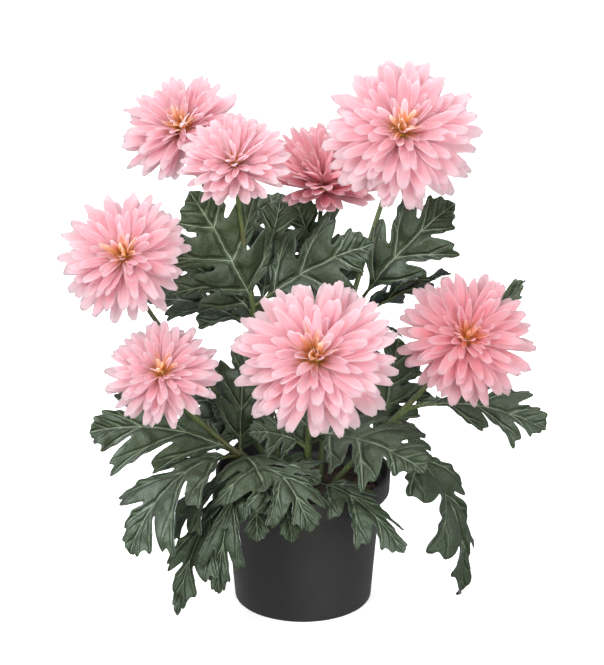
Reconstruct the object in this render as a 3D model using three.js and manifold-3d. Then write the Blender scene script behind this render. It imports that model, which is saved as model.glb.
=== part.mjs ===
// Pot chrysanthemum: a black nursery pot filled with soil, with eight leafy stems standing in it,
// each of which carries one double pink bloom.
// Millimetres, +Z up. The origin is the centre of the pot's underside, and -Y is the front.
import * as THREE from "three";
import { mergeVertices } from "three/addons/utils/BufferGeometryUtils.js";
import Module from "manifold-3d";

const wasm = await Module();
wasm.setup();

// ---- Driving dimensions ----
const POT = {
  height: 94,
  baseRadius: 47.5,
  baseCorner: 1.5,
  shoulderRadius: 54, // the body, just under the collar
  collarRadius: 60.5,
  collarHeight: 15,
  wall: 1.8,
  floor: 2.4,
  sides: 26,
};
const SOIL = { level: 82, crown: 3, lump: 0.9, rings: 3, sides: 18, gap: 0.3 };
const STEM = { rootRadius: 2, neckRadius: 1.5, sides: 6, steps: 6, depth: 30, gap: 0.4 };
// width is a share of the radius of the bloom's head, and belly is where the calyx swells.
const CALYX = { width: 0.95, waist: 2, height: 9, belly: 0.45, bellyWidth: 0.8, sides: 8, gap: 0.4 };
// A blade folds up by fold degrees on each side of its rib, and its edges sag by the share sag of the
// square of their distance from it. Its lobes, at most lobeWidth of its length wide, bend up and down
// by the share bend of the length, turns times from the stalk to the tip.
const LEAF = {
  thickness: 0.8,
  stalkWidth: 2.2,
  stalkThickness: 1.8,
  steps: 24,
  fold: 14,
  sag: 0.9,
  lobeWidth: 0.35,
  bend: 0.05,
  turns: 1.1,
};
// The petals stand out of the head, a small cone. Its radius is the share head of the bloom's, and
// its height the share headHeight of its own radius. A petal is thickest (keel) at the share keelAt of
// its length, joins its neighbours below the share join and narrows past the share shoulder. scatter
// is how many degrees its pitch varies by.
const PETAL = {
  head: 0.15,
  headHeight: 1.5,
  headSides: 10,
  keel: 1.5,
  keelAt: 0.6,
  join: 0.46,
  shoulder: 0.86,
  scatter: 4,
};

// The whorls of petals, from the outermost in. count is a share of the bloom's petals, start and end
// are the angle above the bloom's own plane at the root and at the tip, and reach and width are
// shares of the bloom's radius. tip is the width of the petal's end as a share of its width.
const WHORLS = [
  { count: 0.23, start: 5, end: -13, reach: 1.0, width: 0.23, tip: 0.4 },
  { count: 0.23, start: 18, end: 2, reach: 0.98, width: 0.23, tip: 0.4 },
  { count: 0.19, start: 33, end: 15, reach: 0.88, width: 0.22, tip: 0.4 },
  { count: 0.15, start: 49, end: 30, reach: 0.7, width: 0.19, tip: 0 },
  { count: 0.12, start: 65, end: 48, reach: 0.5, width: 0.12, tip: 0 },
  { count: 0.08, start: 78, end: 70, reach: 0.35, width: 0.075, tip: 0 },
];

// A leaf leaves its stem at the height z, towards heading and at the angle rise, and bends down by droop
// over its length. roll turns it about its rib, spread scales the widths of its left and right halves,
// and sweep slants their lobes towards the tip.
const leaf = (z, heading, rise, droop, length, stalk, shape) => {
  const plain = { roll: 0, spread: [1, 1], sweep: [0.2, 0.2] };
  return { z, heading, rise, droop, length, stalk, ...plain, ...shape };
};

// One leafy stem for each bloom. at is the middle of the bloom, turn its compass heading (0 is +X
// and -90 the front) and tilt how far it looks up. The stem rises from root, its place in the soil,
// carries on upright by lift before it leans, and runs behind the bloom for neck and below it for hang.
const STEMS = [
  {
    name: "back_left",
    root: [-12, 12],
    bloom: { at: [-82, 55, 320], turn: -108, tilt: 57, radius: 45.5, petals: 46 },
    lift: 110,
    neck: 50,
    leaves: [
      leaf(170, 110, 40, 70, 78, 16),
      leaf(215, 150, 40, 60, 74, 14),
      leaf(235, 60, 45, 60, 66, 14),
      leaf(118, 112, 24, 72, 74, 18),
    ],
  },
  {
    name: "high_left",
    root: [-16, 2],
    bloom: { at: [-45, 0, 312], turn: -92, tilt: 56, radius: 39, petals: 45, cup: 8 },
    lift: 20,
    neck: 70,
    leaves: [
      leaf(205, -172, 69, 12, 89, 6, { roll: -80, spread: [1.4, 1.3], sweep: [0.1, 0.1] }),
      leaf(205, -11, 43, 23, 86, 12, { roll: 60, spread: [1.1, 1.2], sweep: [0.1, 0.1] }),
      leaf(188, 176, 37, 44, 70, 12, { roll: -24, spread: [0.95, 1.2] }),
      leaf(198, -175, 52, 28, 78, 6, { roll: -60, spread: [1, 1.2] }),
      leaf(108, -170, 62, 50, 52, 6, { roll: -60, spread: [1.6, 1.3] }),
      leaf(190, 60, 72, 6, 68, 22, { roll: 28, spread: [1.2, 1.2] }),
    ],
  },
  {
    name: "back_middle",
    root: [4, 16],
    bloom: { at: [14, 75, 276], turn: -80, tilt: 66, radius: 46, petals: 46, cup: 22 },
    lift: 90,
    neck: 50,
    leaves: [
      leaf(200, 180, 88, 16, 62, 10, { roll: -70, spread: [1.4, 1.4] }),
      leaf(165, 85, 35, 70, 80, 16),
      leaf(182, 34, 72, 30, 52, 12, { roll: 50 }),
      leaf(110, 85, 22, 74, 74, 18),
      leaf(138, 140, 30, 70, 70, 16),
    ],
  },
  {
    name: "high_right",
    root: [12, 6],
    bloom: { at: [66, 20, 328], turn: -90, tilt: 38, radius: 52.5, petals: 48 },
    lift: 90,
    neck: 40,
    leaves: [
      leaf(194, -4, 60, 20, 86, 28, { roll: 62, spread: [1.05, 1], sweep: [0.3, 0.3] }),
      leaf(190, -5, 42, 24, 72, 12, { roll: -30 }),
      leaf(170, 64, 30, 70, 66, 18),
      leaf(118, 30, 24, 74, 68, 18),
      leaf(146, 66, 30, 70, 70, 16),
    ],
  },
  {
    name: "left",
    root: [-22, 2],
    bloom: { at: [-118, -10, 251], turn: -100, tilt: 40, radius: 46, petals: 46 },
    lift: 40,
    neck: 20,
    hang: 40,
    leaves: [
      leaf(104, 172, 54, 26, 62, 14, { roll: -50, spread: [1.2, 1.2] }),
      leaf(112, 150, 22, 70, 70, 18),
    ],
  },
  {
    name: "low_left",
    root: [-18, -14],
    bloom: { at: [-92, -60, 187], turn: -92, tilt: 45, radius: 39, petals: 45 },
    lift: 8,
    neck: 45,
    leaves: [
      leaf(106, -166, 42, 50, 102, 16, { roll: -42, spread: [1, 0.8], sweep: [0.75, 0.35] }),
      leaf(110, -135, 26, 92, 107, 16, { spread: [1, 0.7], sweep: [0.7, 0.15] }),
      leaf(100, -124, 6, 86, 108, 22, { spread: [0.68, 0.34], sweep: [0.1, 0.1] }),
      leaf(112, -68, 26, 90, 60, 10, { spread: [1.4, 1.9] }),
      leaf(112, 76, 88, 24, 76, 6, { spread: [0.8, 0.85] }),
      leaf(146, 176, 72, 20, 46, 14, { roll: -60 }),
      leaf(100, -40, 22, 32, 46, 10, { roll: 30, spread: [1.2, 1.3] }),
      leaf(102, -62, 30, 82, 76, 14, { roll: 6, spread: [0.8, 0.9], sweep: [0.4, 0.4] }),
      leaf(98, -92, 36, 114, 54, 24, { sweep: [0.3, 0.3] }),
      leaf(104, -66, 32, 112, 52, 34),
      leaf(104, -105, 14, 98, 99, 16, { spread: [0.5, 0.4], sweep: [0.4, 0.4] }),
      leaf(98, -141, 14, 70, 78, 16, { roll: 10, sweep: [0.3, 0.3] }),
    ],
  },
  {
    name: "front",
    root: [2, -18],
    bloom: { at: [8, -75, 203], turn: -94, tilt: 42, radius: 55, petals: 48 },
    lift: 50,
    neck: 30,
    leaves: [
      leaf(92, -49, 20, 62, 91, 14, { roll: 6, spread: [0.38, 0.95], sweep: [0.45, 0.45] }),
      leaf(130, -33, 18, 44, 84, 10, { roll: 15, spread: [1.4, 1.35], sweep: [0.1, 0.1] }),
      leaf(118, -154, 47, 46, 42, 8, { roll: -44, spread: [1.3, 1.3] }),
      leaf(108, 80, 86, 20, 50, 8, { spread: [1.5, 1.5] }),
    ],
  },
  {
    name: "right",
    root: [20, -8],
    bloom: { at: [108, -30, 200], turn: -82, tilt: 40, radius: 48, petals: 46 },
    lift: 5,
    neck: 28,
    leaves: [
      leaf(124, -29, -14, 94, 119, 20, { roll: -6, spread: [0.6, 1.15], sweep: [0.1, -0.3] }),
      leaf(142, -6, 16, 46, 78, 22, { roll: 26, spread: [1.2, 0.95], sweep: [0.3, 0.3] }),
      leaf(126, 66, 74, 16, 52, 12, { roll: 50, spread: [1.4, 1.4] }),
      leaf(150, 15, 47, 4, 100, 10, { roll: 20, spread: [0.35, 0.5], sweep: [0.4, 0.4] }),
      leaf(114, 46, 60, 20, 60, 12, { roll: 50, spread: [1.3, 1.3] }),
      leaf(134, -30, -20, 50, 30, 10, { roll: 10 }),
      leaf(134, 40, 20, 70, 70, 18),
    ],
  },
];

// Half of a leaf's outline as the fans of points round its ribs: [along, across], both as shares of
// the blade's length. A fan's rib leaves the midrib at along, and its points run from the lobe's
// lower edge over its teeth and tip to the notch above it.
const LOBES = [
  {
    along: 0.14,
    points: [[0, 0.02], [0.1, 0.08], [0.18, 0.2], [0.335, 0.345], [0.395, 0.26], [0.368, 0.106]],
  },
  {
    along: 0.42,
    points: [[0.368, 0.106], [0.425, 0.175], [0.53, 0.28], [0.665, 0.355], [0.72, 0.25], [0.674, 0.088]],
  },
  { along: 0.72, points: [[0.674, 0.088], [0.74, 0.136], [0.84, 0.165], [0.9, 0.11]] },
  { along: 0.9, points: [[0.9, 0.11], [1, 0]] },
];

const UP = new THREE.Vector3(0, 0, 1);
const radians = THREE.MathUtils.degToRad;
const { lerp } = THREE.MathUtils;

// ---- Solids ----
function meshOf(points, corners) {
  const places = new Float32Array(points.flatMap((point) => point.toArray()));
  return new THREE.BufferGeometry()
    .setAttribute("position", new THREE.BufferAttribute(places, 3))
    .setIndex(corners);
}

// A closed mesh as a manifold-3d solid, and back.
function solidOf(geometry) {
  const bare = geometry.clone();
  for (const name of Object.keys(bare.attributes)) {
    if (name !== "position") bare.deleteAttribute(name);
  }
  const merged = mergeVertices(bare, 1e-4);
  return new wasm.Manifold(
    new wasm.Mesh({
      numProp: 3,
      vertProperties: new Float32Array(merged.attributes.position.array),
      triVerts: new Uint32Array(merged.index.array),
    }),
  );
}

function geometryOf(solid) {
  const { vertProperties, triVerts } = solid.getMesh();
  const geometry = new THREE.BufferGeometry()
    .setAttribute("position", new THREE.BufferAttribute(new Float32Array(vertProperties), 3))
    .setIndex(new THREE.BufferAttribute(new Uint32Array(triVerts), 1));
  geometry.computeVertexNormals();
  return geometry;
}

// Solids joined into one, where any hollow that the join seals is filled.
function fused(solids) {
  const shells = wasm.Manifold.union(solids).decompose();
  return wasm.Manifold.union(shells.filter((shell) => shell.volume() > 0));
}

// A closed skin over sections that all hold the same number of points, from one end cap to the
// other. Each end may be a single point.
function skinOf(sections) {
  const points = sections.flat();
  const starts = [];
  let count = 0;
  for (const section of sections) {
    starts.push(count);
    count += section.length;
  }
  const faces = [];
  for (let k = 0; k + 1 < sections.length; k++) {
    const [m, n] = [sections[k].length, sections[k + 1].length];
    for (let i = 0; i < Math.max(m, n); i++) {
      const [a, b] = [starts[k] + (i % m), starts[k] + ((i + 1) % m)];
      const [c, d] = [starts[k + 1] + (i % n), starts[k + 1] + ((i + 1) % n)];
      if (a !== b) faces.push(a, b, d);
      if (c !== d) faces.push(a, d, c);
    }
  }
  const [first, last] = [starts[0], starts.at(-1)];
  for (let i = 1; i + 1 < sections[0].length; i++) faces.push(first, first + i + 1, first + i);
  for (let i = 1; i + 1 < sections.at(-1).length; i++) faces.push(last, last + i, last + i + 1);
  return meshOf(points, faces);
}

// ---- Pot and soil ----
const SHOULDER = POT.height - POT.collarHeight;
const innerRadius = (z) => {
  const share = (z - POT.baseCorner) / (SHOULDER - POT.baseCorner);
  return lerp(POT.baseRadius, POT.shoulderRadius, share) - POT.wall;
};

function potGeometry() {
  const profile = [
    [0, 0],
    [POT.baseRadius - POT.baseCorner, 0],
    [POT.baseRadius, POT.baseCorner],
    [POT.shoulderRadius, SHOULDER],
    [POT.collarRadius - 1, SHOULDER + 1],
    [POT.collarRadius, POT.height - 1],
    [POT.collarRadius - 1, POT.height],
    [POT.collarRadius - POT.wall - 0.4, POT.height],
    [POT.collarRadius - POT.wall - 1.6, SHOULDER + 4],
    [innerRadius(SHOULDER), SHOULDER],
    [innerRadius(POT.floor), POT.floor],
    [0, POT.floor],
  ];
  const points = profile.map(([radius, z]) => new THREE.Vector2(radius, z));
  return new THREE.LatheGeometry(points, POT.sides).rotateX(Math.PI / 2);
}

// The soil fills the pot to SOIL.level, with a low crown and lumps raised by a formula.
function soilSolid() {
  const foot = POT.floor + SOIL.gap;
  const edge = (z) => (innerRadius(z) - SOIL.gap) * Math.cos(Math.PI / POT.sides);
  const rim = edge(SHOULDER) - 1;
  const ring = (radius, z) =>
    Array.from({ length: SOIL.sides }, (_, i) => {
      const angle = (2 * Math.PI * i) / SOIL.sides;
      return new THREE.Vector3(radius * Math.cos(angle), radius * Math.sin(angle), z);
    });
  const sections = [ring(edge(foot) - 1, foot), ring(rim, SHOULDER)];
  for (let k = 1; k < SOIL.rings; k++) {
    const share = 1 - k / SOIL.rings;
    const top = SOIL.level - SOIL.crown * share * share;
    const lump = (i) => SOIL.lump * Math.sin(5 * i + 7 * k) * Math.cos(3 * i);
    sections.push(ring(rim * share, top).map((point, i) => point.setZ(top + lump(i))));
  }
  sections.push([new THREE.Vector3(0, 0, SOIL.level)]);
  return solidOf(skinOf(sections));
}

// ---- Stems ----
const facing = ({ turn, tilt }) => {
  const [heading, height] = [radians(turn), radians(tilt)];
  return new THREE.Vector3(
    Math.cos(height) * Math.cos(heading),
    Math.cos(height) * Math.sin(heading),
    Math.sin(height),
  );
};

// The foot of the bloom's head, where the calyx holds it.
const bloomFoot = (bloom) =>
  new THREE.Vector3(...bloom.at).addScaledVector(facing(bloom), -0.5 * PETAL.head * bloom.radius);

function stemCurve({ root, bloom, lift, neck, hang = 0 }) {
  const foot = new THREE.Vector3(root[0], root[1], SOIL.level + SOIL.crown);
  const end = bloomFoot(bloom).addScaledVector(facing(bloom), -0.6 * CALYX.height);
  return new THREE.CubicBezierCurve3(
    foot,
    foot.clone().addScaledVector(UP, lift),
    end.clone().addScaledVector(facing(bloom), -neck).addScaledVector(UP, -hang),
    end,
  );
}

// A round of points about centre, square to along.
function roundOf(centre, along, radius, sides) {
  const side = new THREE.Vector3(1, 0, 0).addScaledVector(along, -along.x).normalize();
  const across = new THREE.Vector3().crossVectors(along, side);
  return Array.from({ length: sides }, (_, i) => {
    const angle = (2 * Math.PI * i) / sides;
    return centre
      .clone()
      .addScaledVector(side, radius * Math.cos(angle))
      .addScaledVector(across, radius * Math.sin(angle));
  });
}

function stalkSolid(stem) {
  const curve = stemCurve(stem);
  const buried = new THREE.Vector3(stem.root[0], stem.root[1], SOIL.level - STEM.depth);
  const sections = [roundOf(buried, UP, STEM.rootRadius, STEM.sides)];
  for (let k = 0; k <= STEM.steps; k++) {
    const t = k / STEM.steps;
    const radius = lerp(STEM.rootRadius, STEM.neckRadius, t);
    sections.push(roundOf(curve.getPoint(t), curve.getTangent(t), radius, STEM.sides));
  }
  return solidOf(skinOf(sections));
}

function calyxSolid(bloom) {
  const look = facing(bloom);
  const foot = bloomFoot(bloom).addScaledVector(look, -CALYX.gap);
  const wide = CALYX.width * PETAL.head * bloom.radius;
  const ring = (radius, below) =>
    roundOf(foot.clone().addScaledVector(look, -below), look, radius, CALYX.sides);
  return solidOf(
    skinOf([
      ring(CALYX.waist, CALYX.height),
      ring(wide * CALYX.bellyWidth, CALYX.height * CALYX.belly),
      ring(wide, 0),
    ]),
  );
}

// ---- Leaves ----
// The line that a leaf follows from the stem to its tip. At a distance along it, it gives the place
// and the directions across (to the leaf's left) and out of its upper face.
function leafSpine(start, { heading, rise, droop, roll, length, stalk }) {
  const total = length + stalk;
  const level = facing({ turn: heading + 90, tilt: 0 });
  const place = start.clone();
  const frames = [];
  for (let k = 0; k <= LEAF.steps; k++) {
    const along = facing({ turn: heading, tilt: rise - (droop * k) / LEAF.steps });
    const next = facing({ turn: heading, tilt: rise - (droop * (k + 0.5)) / LEAF.steps });
    const across = level.clone().applyAxisAngle(along, radians(roll));
    const out = new THREE.Vector3().crossVectors(along, across);
    frames.push({ place: place.clone(), across, out });
    place.addScaledVector(next, total / LEAF.steps);
  }
  return (distance) => {
    const step = Math.min((distance / total) * LEAF.steps, LEAF.steps - 1e-6);
    const [k, part] = [Math.floor(step), step % 1];
    const mix = (key) => frames[k][key].clone().lerp(frames[k + 1][key], part);
    return { place: mix("place"), across: mix("across").normalize(), out: mix("out").normalize() };
  };
}

// A leaf is one thin blade: the same triangles on both faces, set apart by its thickness.
function leafSolid(start, leaf) {
  const spine = leafSpine(start, leaf);
  const fold = radians(LEAF.fold);
  const flat = []; // [distance along, distance across, half thickness, bend of the lobe]
  const add = (along, across, half, bend = 0) => flat.push([along, across, half, bend]) - 1;
  const [blade, half] = [LEAF.thickness / 2, LEAF.stalkThickness / 2];
  const at = (along) => leaf.stalk + along * leaf.length;
  const midrib = LOBES.map(({ along }) => add(at(along), 0, blade));
  const tip = add(at(1), 0, blade);
  const faces = [];
  const rims = {};
  for (const side of [1, -1]) {
    const face = (a, b, c) => faces.push(side > 0 ? [a, c, b] : [a, b, c]);
    const [spread, sweep] = [leaf.spread, leaf.sweep].map(([left, right]) => (side > 0 ? left : right));
    const stalk = [0, 0.5 * leaf.stalk].map((along) => add(along, (side * LEAF.stalkWidth) / 2, half));
    const rim = [...stalk];
    LOBES.forEach(({ points }, k) => {
      if (k > 0) face(midrib[k - 1], rim.at(-1), midrib[k]);
      points.forEach(([along, across], i) => {
        if (k > 0 && i === 0) return;
        const aside = side * across * spread * leaf.length;
        const turn = radians(leaf.heading) + 2 * Math.PI * LEAF.turns * along + side;
        const bend = LEAF.bend * leaf.length * (across / LEAF.lobeWidth) ** 1.5 * Math.sin(turn);
        rim.push(along === 1 ? tip : add(at(along + sweep * across), aside, blade, bend));
        if (k > 0 || i > 0) face(midrib[k], rim.at(-2), rim.at(-1));
      });
    });
    rims[side] = rim;
  }
  const [left, right] = [rims[1], rims[-1]];
  for (let i = 0; i < 2; i++) {
    faces.push([left[i], right[i], right[i + 1]]);
    faces.push([left[i], right[i + 1], left[i + 1]]);
  }
  faces.push([left[2], right[2], midrib[0]]);
  const outline = [...right, ...left.slice(0, -1).reverse()];

  const upper = [];
  const lower = [];
  for (const [along, across, thick, bend] of flat) {
    const frame = spine(along);
    const wide = Math.abs(across);
    const sag = (LEAF.sag * across * across) / leaf.length;
    const middle = frame.place
      .clone()
      .addScaledVector(frame.across, across * Math.cos(fold))
      .addScaledVector(frame.out, wide * Math.sin(fold) - sag + bend);
    upper.push(middle.clone().addScaledVector(frame.out, thick));
    lower.push(middle.clone().addScaledVector(frame.out, -thick));
  }
  const count = flat.length;
  const triangles = [];
  for (const [a, b, c] of faces) triangles.push(a, b, c, count + a, count + c, count + b);
  outline.forEach((a, i) => {
    const b = outline[(i + 1) % outline.length];
    triangles.push(b, a, count + a, b, count + a, count + b);
  });
  return solidOf(meshOf([...upper, ...lower], triangles));
}

// The point of a stem at the height z.
function stemAt(curve, z) {
  let [low, high] = [0, 1];
  for (let k = 0; k < 20; k++) {
    const middle = (low + high) / 2;
    if (curve.getPoint(middle).z < z) low = middle;
    else high = middle;
  }
  return curve.getPoint(low);
}

function leafyStemGeometry(stem) {
  const curve = stemCurve(stem);
  const leaves = stem.leaves.map((leaf) => leafSolid(stemAt(curve, leaf.z), leaf));
  return geometryOf(fused([stalkSolid(stem), calyxSolid(stem.bloom), ...leaves]));
}

// ---- Blooms ----
// A seeded draw in -1..1, so that petals lie a little unevenly and every build is the same.
function scatterFrom(seed) {
  let state = seed;
  return () => {
    state = (state * 16807) % 2147483647;
    return (2 * state) / 2147483647 - 1;
  };
}

// The point of a petal at a share of its length, across to its left by the angle aside and off its
// face by rise. It starts from the root [radius, height] and bends from the angle start to end.
function petalPoint({ root, start, end, length }, share, turn, across, rise) {
  const steps = 8;
  let [radius, height] = root;
  for (let k = 0; k < steps; k++) {
    const pitch = radians(start + ((end - start) * share * (k + 0.5)) / steps);
    radius += (Math.cos(pitch) * length * share) / steps;
    height += (Math.sin(pitch) * length * share) / steps;
  }
  const pitch = radians(start + (end - start) * share);
  radius -= Math.sin(pitch) * rise;
  height += Math.cos(pitch) * rise;
  const [c, s] = [Math.cos(turn), Math.sin(turn)];
  return new THREE.Vector3(radius * c - across * s, radius * s + across * c, height);
}

// A bloom in its own frame, where +Z is the way it looks, as one closed skin. The skin runs from the
// middle of its underside out along the lower faces of a whorl of petals, back along their upper
// faces to the head, and so on through the whorls up to the middle of the head.
function bloomGeometry({ radius, petals, cup = 0 }, seed) {
  const scatter = scatterFrom(seed);
  const head = PETAL.head * radius;
  const points = [];
  const faces = [];
  const add = (point) => points.push(point) - 1;
  // Joins two rounds of points, each of which is a list of [angle, index] in order of angle.
  const zip = (from, to) => {
    let [i, j] = [0, 0];
    const angleOf = (round, k) =>
      round[k % round.length][0] + 2 * Math.PI * Math.floor(k / round.length);
    while (i < from.length || j < to.length) {
      const [a, b] = [from[i % from.length][1], to[j % to.length][1]];
      if (j >= to.length || (i < from.length && angleOf(from, i + 1) < angleOf(to, j + 1))) {
        faces.push([a, from[++i % from.length][1], b]);
      } else {
        faces.push([a, to[++j % to.length][1], b]);
      }
    }
  };
  const headRound = (sides, wide, high) =>
    Array.from({ length: sides }, (_, i) => {
      const angle = (2 * Math.PI * i) / sides;
      const out = new THREE.Vector3(Math.cos(angle), Math.sin(angle), 0).multiplyScalar(wide * head);
      return [angle, add(out.setZ(high * head))];
    });
  const headWidth = (share) => 1 - 0.75 * share ** 1.5;

  let last = headRound(PETAL.headSides, 0.9, 0);
  const middle = add(new THREE.Vector3());
  last.forEach(([, a], i) => faces.push([middle, last[(i + 1) % last.length][1], a]));
  WHORLS.forEach((whorl, k) => {
    const count = Math.round(whorl.count * petals);
    const base = (k + 0.5) / WHORLS.length;
    // A cupped bloom's petals stand nearer to upright, and its inner ones are longer.
    const raised = (pitch) => 90 - (90 - pitch) * (1 - cup / 90);
    const reach = radius * lerp(whorl.reach, 1, cup / 45);
    const inset = headWidth(base) * head * Math.cos(radians(raised(whorl.start)));
    const blades = Array.from({ length: count }, (_, i) => {
      const lift = PETAL.scatter * scatter() * (1 - cup / 60);
      return {
        turn: (2 * Math.PI * (i + 0.25 + 0.5 * (k % 2) + 0.12 * scatter())) / count,
        root: [headWidth(base) * head * 0.95, base * PETAL.headHeight * head],
        start: raised(whorl.start) + lift,
        end: raised(whorl.end) + lift,
        length: reach * (1 + 0.05 * scatter()) - inset,
      };
    });
    const half = (whorl.width * radius) / 2;
    const rounds = [[], []]; // the joins and keels below and above
    blades.forEach((blade, i) => {
      const next = blades[(i + 1) % count];
      const nextTurn = next.turn + (i + 1 === count ? 2 * Math.PI : 0);
      const between = {
        root: blade.root,
        start: (blade.start + next.start) / 2,
        end: (blade.end + next.end) / 2,
        length: (blade.length + next.length) / 2,
      };
      const betweenTurn = (blade.turn + nextTurn) / 2;
      const keel = (rise) => add(petalPoint(blade, PETAL.keelAt, blade.turn, 0, rise));
      blade.keels = [keel(-PETAL.keel / 2), keel(PETAL.keel / 2)];
      blade.join = add(petalPoint(between, PETAL.join, betweenTurn, 0, 0));
      rounds.forEach((round, side) => {
        round.push([blade.turn, blade.keels[side]]);
        round.push([betweenTurn, blade.join]);
      });
    });
    blades.forEach((blade, i) => {
      const before = blades[(i + count - 1) % count].join;
      const ends = whorl.tip > 0 ? [-whorl.tip * half, whorl.tip * half] : [0];
      const outline = [
        before,
        add(petalPoint(blade, PETAL.shoulder, blade.turn, -half, 0)),
        ...ends.map((across) => add(petalPoint(blade, 1, blade.turn, across, 0))),
        add(petalPoint(blade, PETAL.shoulder, blade.turn, half, 0)),
        blade.join,
      ];
      for (let j = 0; j + 1 < outline.length; j++) {
        faces.push([blade.keels[0], outline[j + 1], outline[j]]);
        faces.push([blade.keels[1], outline[j], outline[j + 1]]);
      }
    });
    zip(last, rounds[0]);
    const top = (k + 1) / WHORLS.length;
    last = headRound(Math.min(PETAL.headSides, count + 2), headWidth(top), PETAL.headHeight * top);
    zip(rounds[1], last);
  });
  const crown = add(new THREE.Vector3(0, 0, (PETAL.headHeight + 0.1) * head));
  last.forEach(([, a], i) => faces.push([a, last[(i + 1) % last.length][1], crown]));
  return meshOf(points, faces.flat());
}

// ---- The plant ----
const material = (color, roughness) => new THREE.MeshStandardMaterial({ color, roughness, metalness: 0 });
const PLASTIC = material(0x2b2a2a, 0.45);
const EARTH = material(0x2e1a12, 0.95);
const GREEN = material(0x2c4a36, 0.55);
const PINK = material(0xf4a3b2, 0.7);

const plant = new THREE.Group();
function place(name, geometry, finish) {
  const mesh = new THREE.Mesh(geometry, finish);
  mesh.name = name;
  plant.add(mesh);
  return mesh;
}

// A hole in the soil for a stem, with a gap all round.
function holeSolid({ root }) {
  const radius = (STEM.rootRadius + STEM.gap) / Math.cos(Math.PI / STEM.sides);
  const depth = STEM.depth + STEM.gap + SOIL.crown + 5;
  const hole = new THREE.CylinderGeometry(radius, radius, depth, STEM.sides)
    .rotateX(Math.PI / 2)
    .rotateZ(Math.PI / 2)
    .translate(root[0], root[1], SOIL.level - STEM.depth - STEM.gap + depth / 2);
  return solidOf(hole);
}

place("pot", potGeometry(), PLASTIC);
place("soil", geometryOf(soilSolid().subtract(fused(STEMS.map(holeSolid)))), EARTH);
STEMS.forEach((stem, k) => {
  place(`leafy_stem_${stem.name}`, leafyStemGeometry(stem), GREEN);
  const petals = geometryOf(solidOf(bloomGeometry(stem.bloom, 101 + 17 * k)));
  const bloom = place(`bloom_${stem.name}`, petals, PINK);
  bloom.position.copy(bloomFoot(stem.bloom));
  bloom.quaternion.setFromUnitVectors(UP, facing(stem.bloom));
});

export default plant;
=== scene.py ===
# %% [markdown]
# # A pot chrysanthemum
# A flowering pot plant is many thin, soft, curved pieces on a few stems. This lesson grows it in code:
# first the studio it stands in, then the finishes, then the leaves, the stems, the blooms, and at last
# the pot and its soil. All sizes are in metres, and all angles in degrees.
#
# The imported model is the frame. It already says where the pot, the soil, each stem and each bloom are,
# so every piece made here is placed by the same sizes and stands for one of its nodes.

# %% The frame
import math
import random

import bmesh
import bpy
import numpy as np
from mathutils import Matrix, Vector, noise
from mathutils.geometry import delaunay_2d_cdt


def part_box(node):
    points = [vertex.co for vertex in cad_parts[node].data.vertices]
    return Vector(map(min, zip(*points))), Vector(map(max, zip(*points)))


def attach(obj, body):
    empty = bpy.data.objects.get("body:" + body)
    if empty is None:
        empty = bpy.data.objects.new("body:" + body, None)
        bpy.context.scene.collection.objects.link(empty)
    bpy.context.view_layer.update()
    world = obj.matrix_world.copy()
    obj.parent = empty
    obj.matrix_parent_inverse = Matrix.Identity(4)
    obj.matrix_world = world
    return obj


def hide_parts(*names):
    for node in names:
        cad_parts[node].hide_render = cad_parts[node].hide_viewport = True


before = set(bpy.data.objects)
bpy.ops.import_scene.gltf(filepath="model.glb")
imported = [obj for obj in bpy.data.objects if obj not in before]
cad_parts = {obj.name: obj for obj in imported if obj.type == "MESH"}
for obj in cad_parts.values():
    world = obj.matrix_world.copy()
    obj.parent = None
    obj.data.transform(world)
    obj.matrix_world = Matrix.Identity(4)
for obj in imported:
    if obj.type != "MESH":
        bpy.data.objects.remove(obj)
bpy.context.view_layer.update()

# %% [markdown]
# ## The camera
# A plant of this size is seen whole from well over a metre away, looking a little down on it. A short
# lens close by would frame it as well, but it would swell the front bloom. A long lens further off
# flattens the blooms against each other. The shift is a hair to the left.

# %% Camera
EYE = (0.0, -1.6, 0.78)
LOOK_DOWN = 20.1
LENS = 136.3  # millimetres, on a sensor whose long side is 36 mm
SHIFT = -0.0015


def in_scene(name, data):
    """A new object of this data, linked to the scene."""
    made = bpy.data.objects.new(name, data)
    bpy.context.scene.collection.objects.link(made)
    return made


camera = in_scene("studio_camera", bpy.data.cameras.new("studio_camera"))
camera.data.lens = LENS
camera.data.shift_x = SHIFT
camera.location = EYE
camera.rotation_euler = (math.radians(90 - LOOK_DOWN), 0, 0)
bpy.context.scene.camera = camera
print("the camera looks down by", LOOK_DOWN, "degrees")

# %% [markdown]
# ## The studio
# Soft light from all round keeps the petals pale and the shadows weak. One broad lamp up to the left
# gives the blooms their form, one low in front fills their shadows, and one above and behind lights
# their rims. Leaves shine and petals don't, so two more lamps are seen in reflections alone: they put
# a grey sheen on the leaves without bleaching the blooms.

# %% Lamps
SKY_LIGHT = 0.42
LAMPS_AIM = Vector((0, 0, 0.18))


def lamp(name, place, size, power):
    made = in_scene(name, bpy.data.lights.new(name, "AREA"))
    made.data.shape = "DISK"
    made.data.size = size
    made.data.energy = power
    made.location = place
    made.rotation_euler = (LAMPS_AIM - Vector(place)).to_track_quat("-Z", "Y").to_euler()
    return made


def hide_from(thing, *rays):
    """Takes a lamp or the floor out of what these kinds of light rays meet."""
    for ray in rays:
        setattr(thing, f"visible_{ray}", False)


lamp("key_lamp", (-1.1, -1.3, 1.7), 1.2, 40)
lamp("fill_lamp", (0.9, -2.0, 0.5), 1.6, 42)
lamp("top_lamp", (0.1, 0.6, 2.0), 1.2, 35)
hide_from(lamp("sheen_lamp_left", (-0.9, -0.2, 1.5), 1.2, 75), "diffuse", "transmission")
hide_from(lamp("sheen_lamp_right", (0.8, -0.4, 1.6), 1.2, 35), "diffuse", "transmission")

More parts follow.
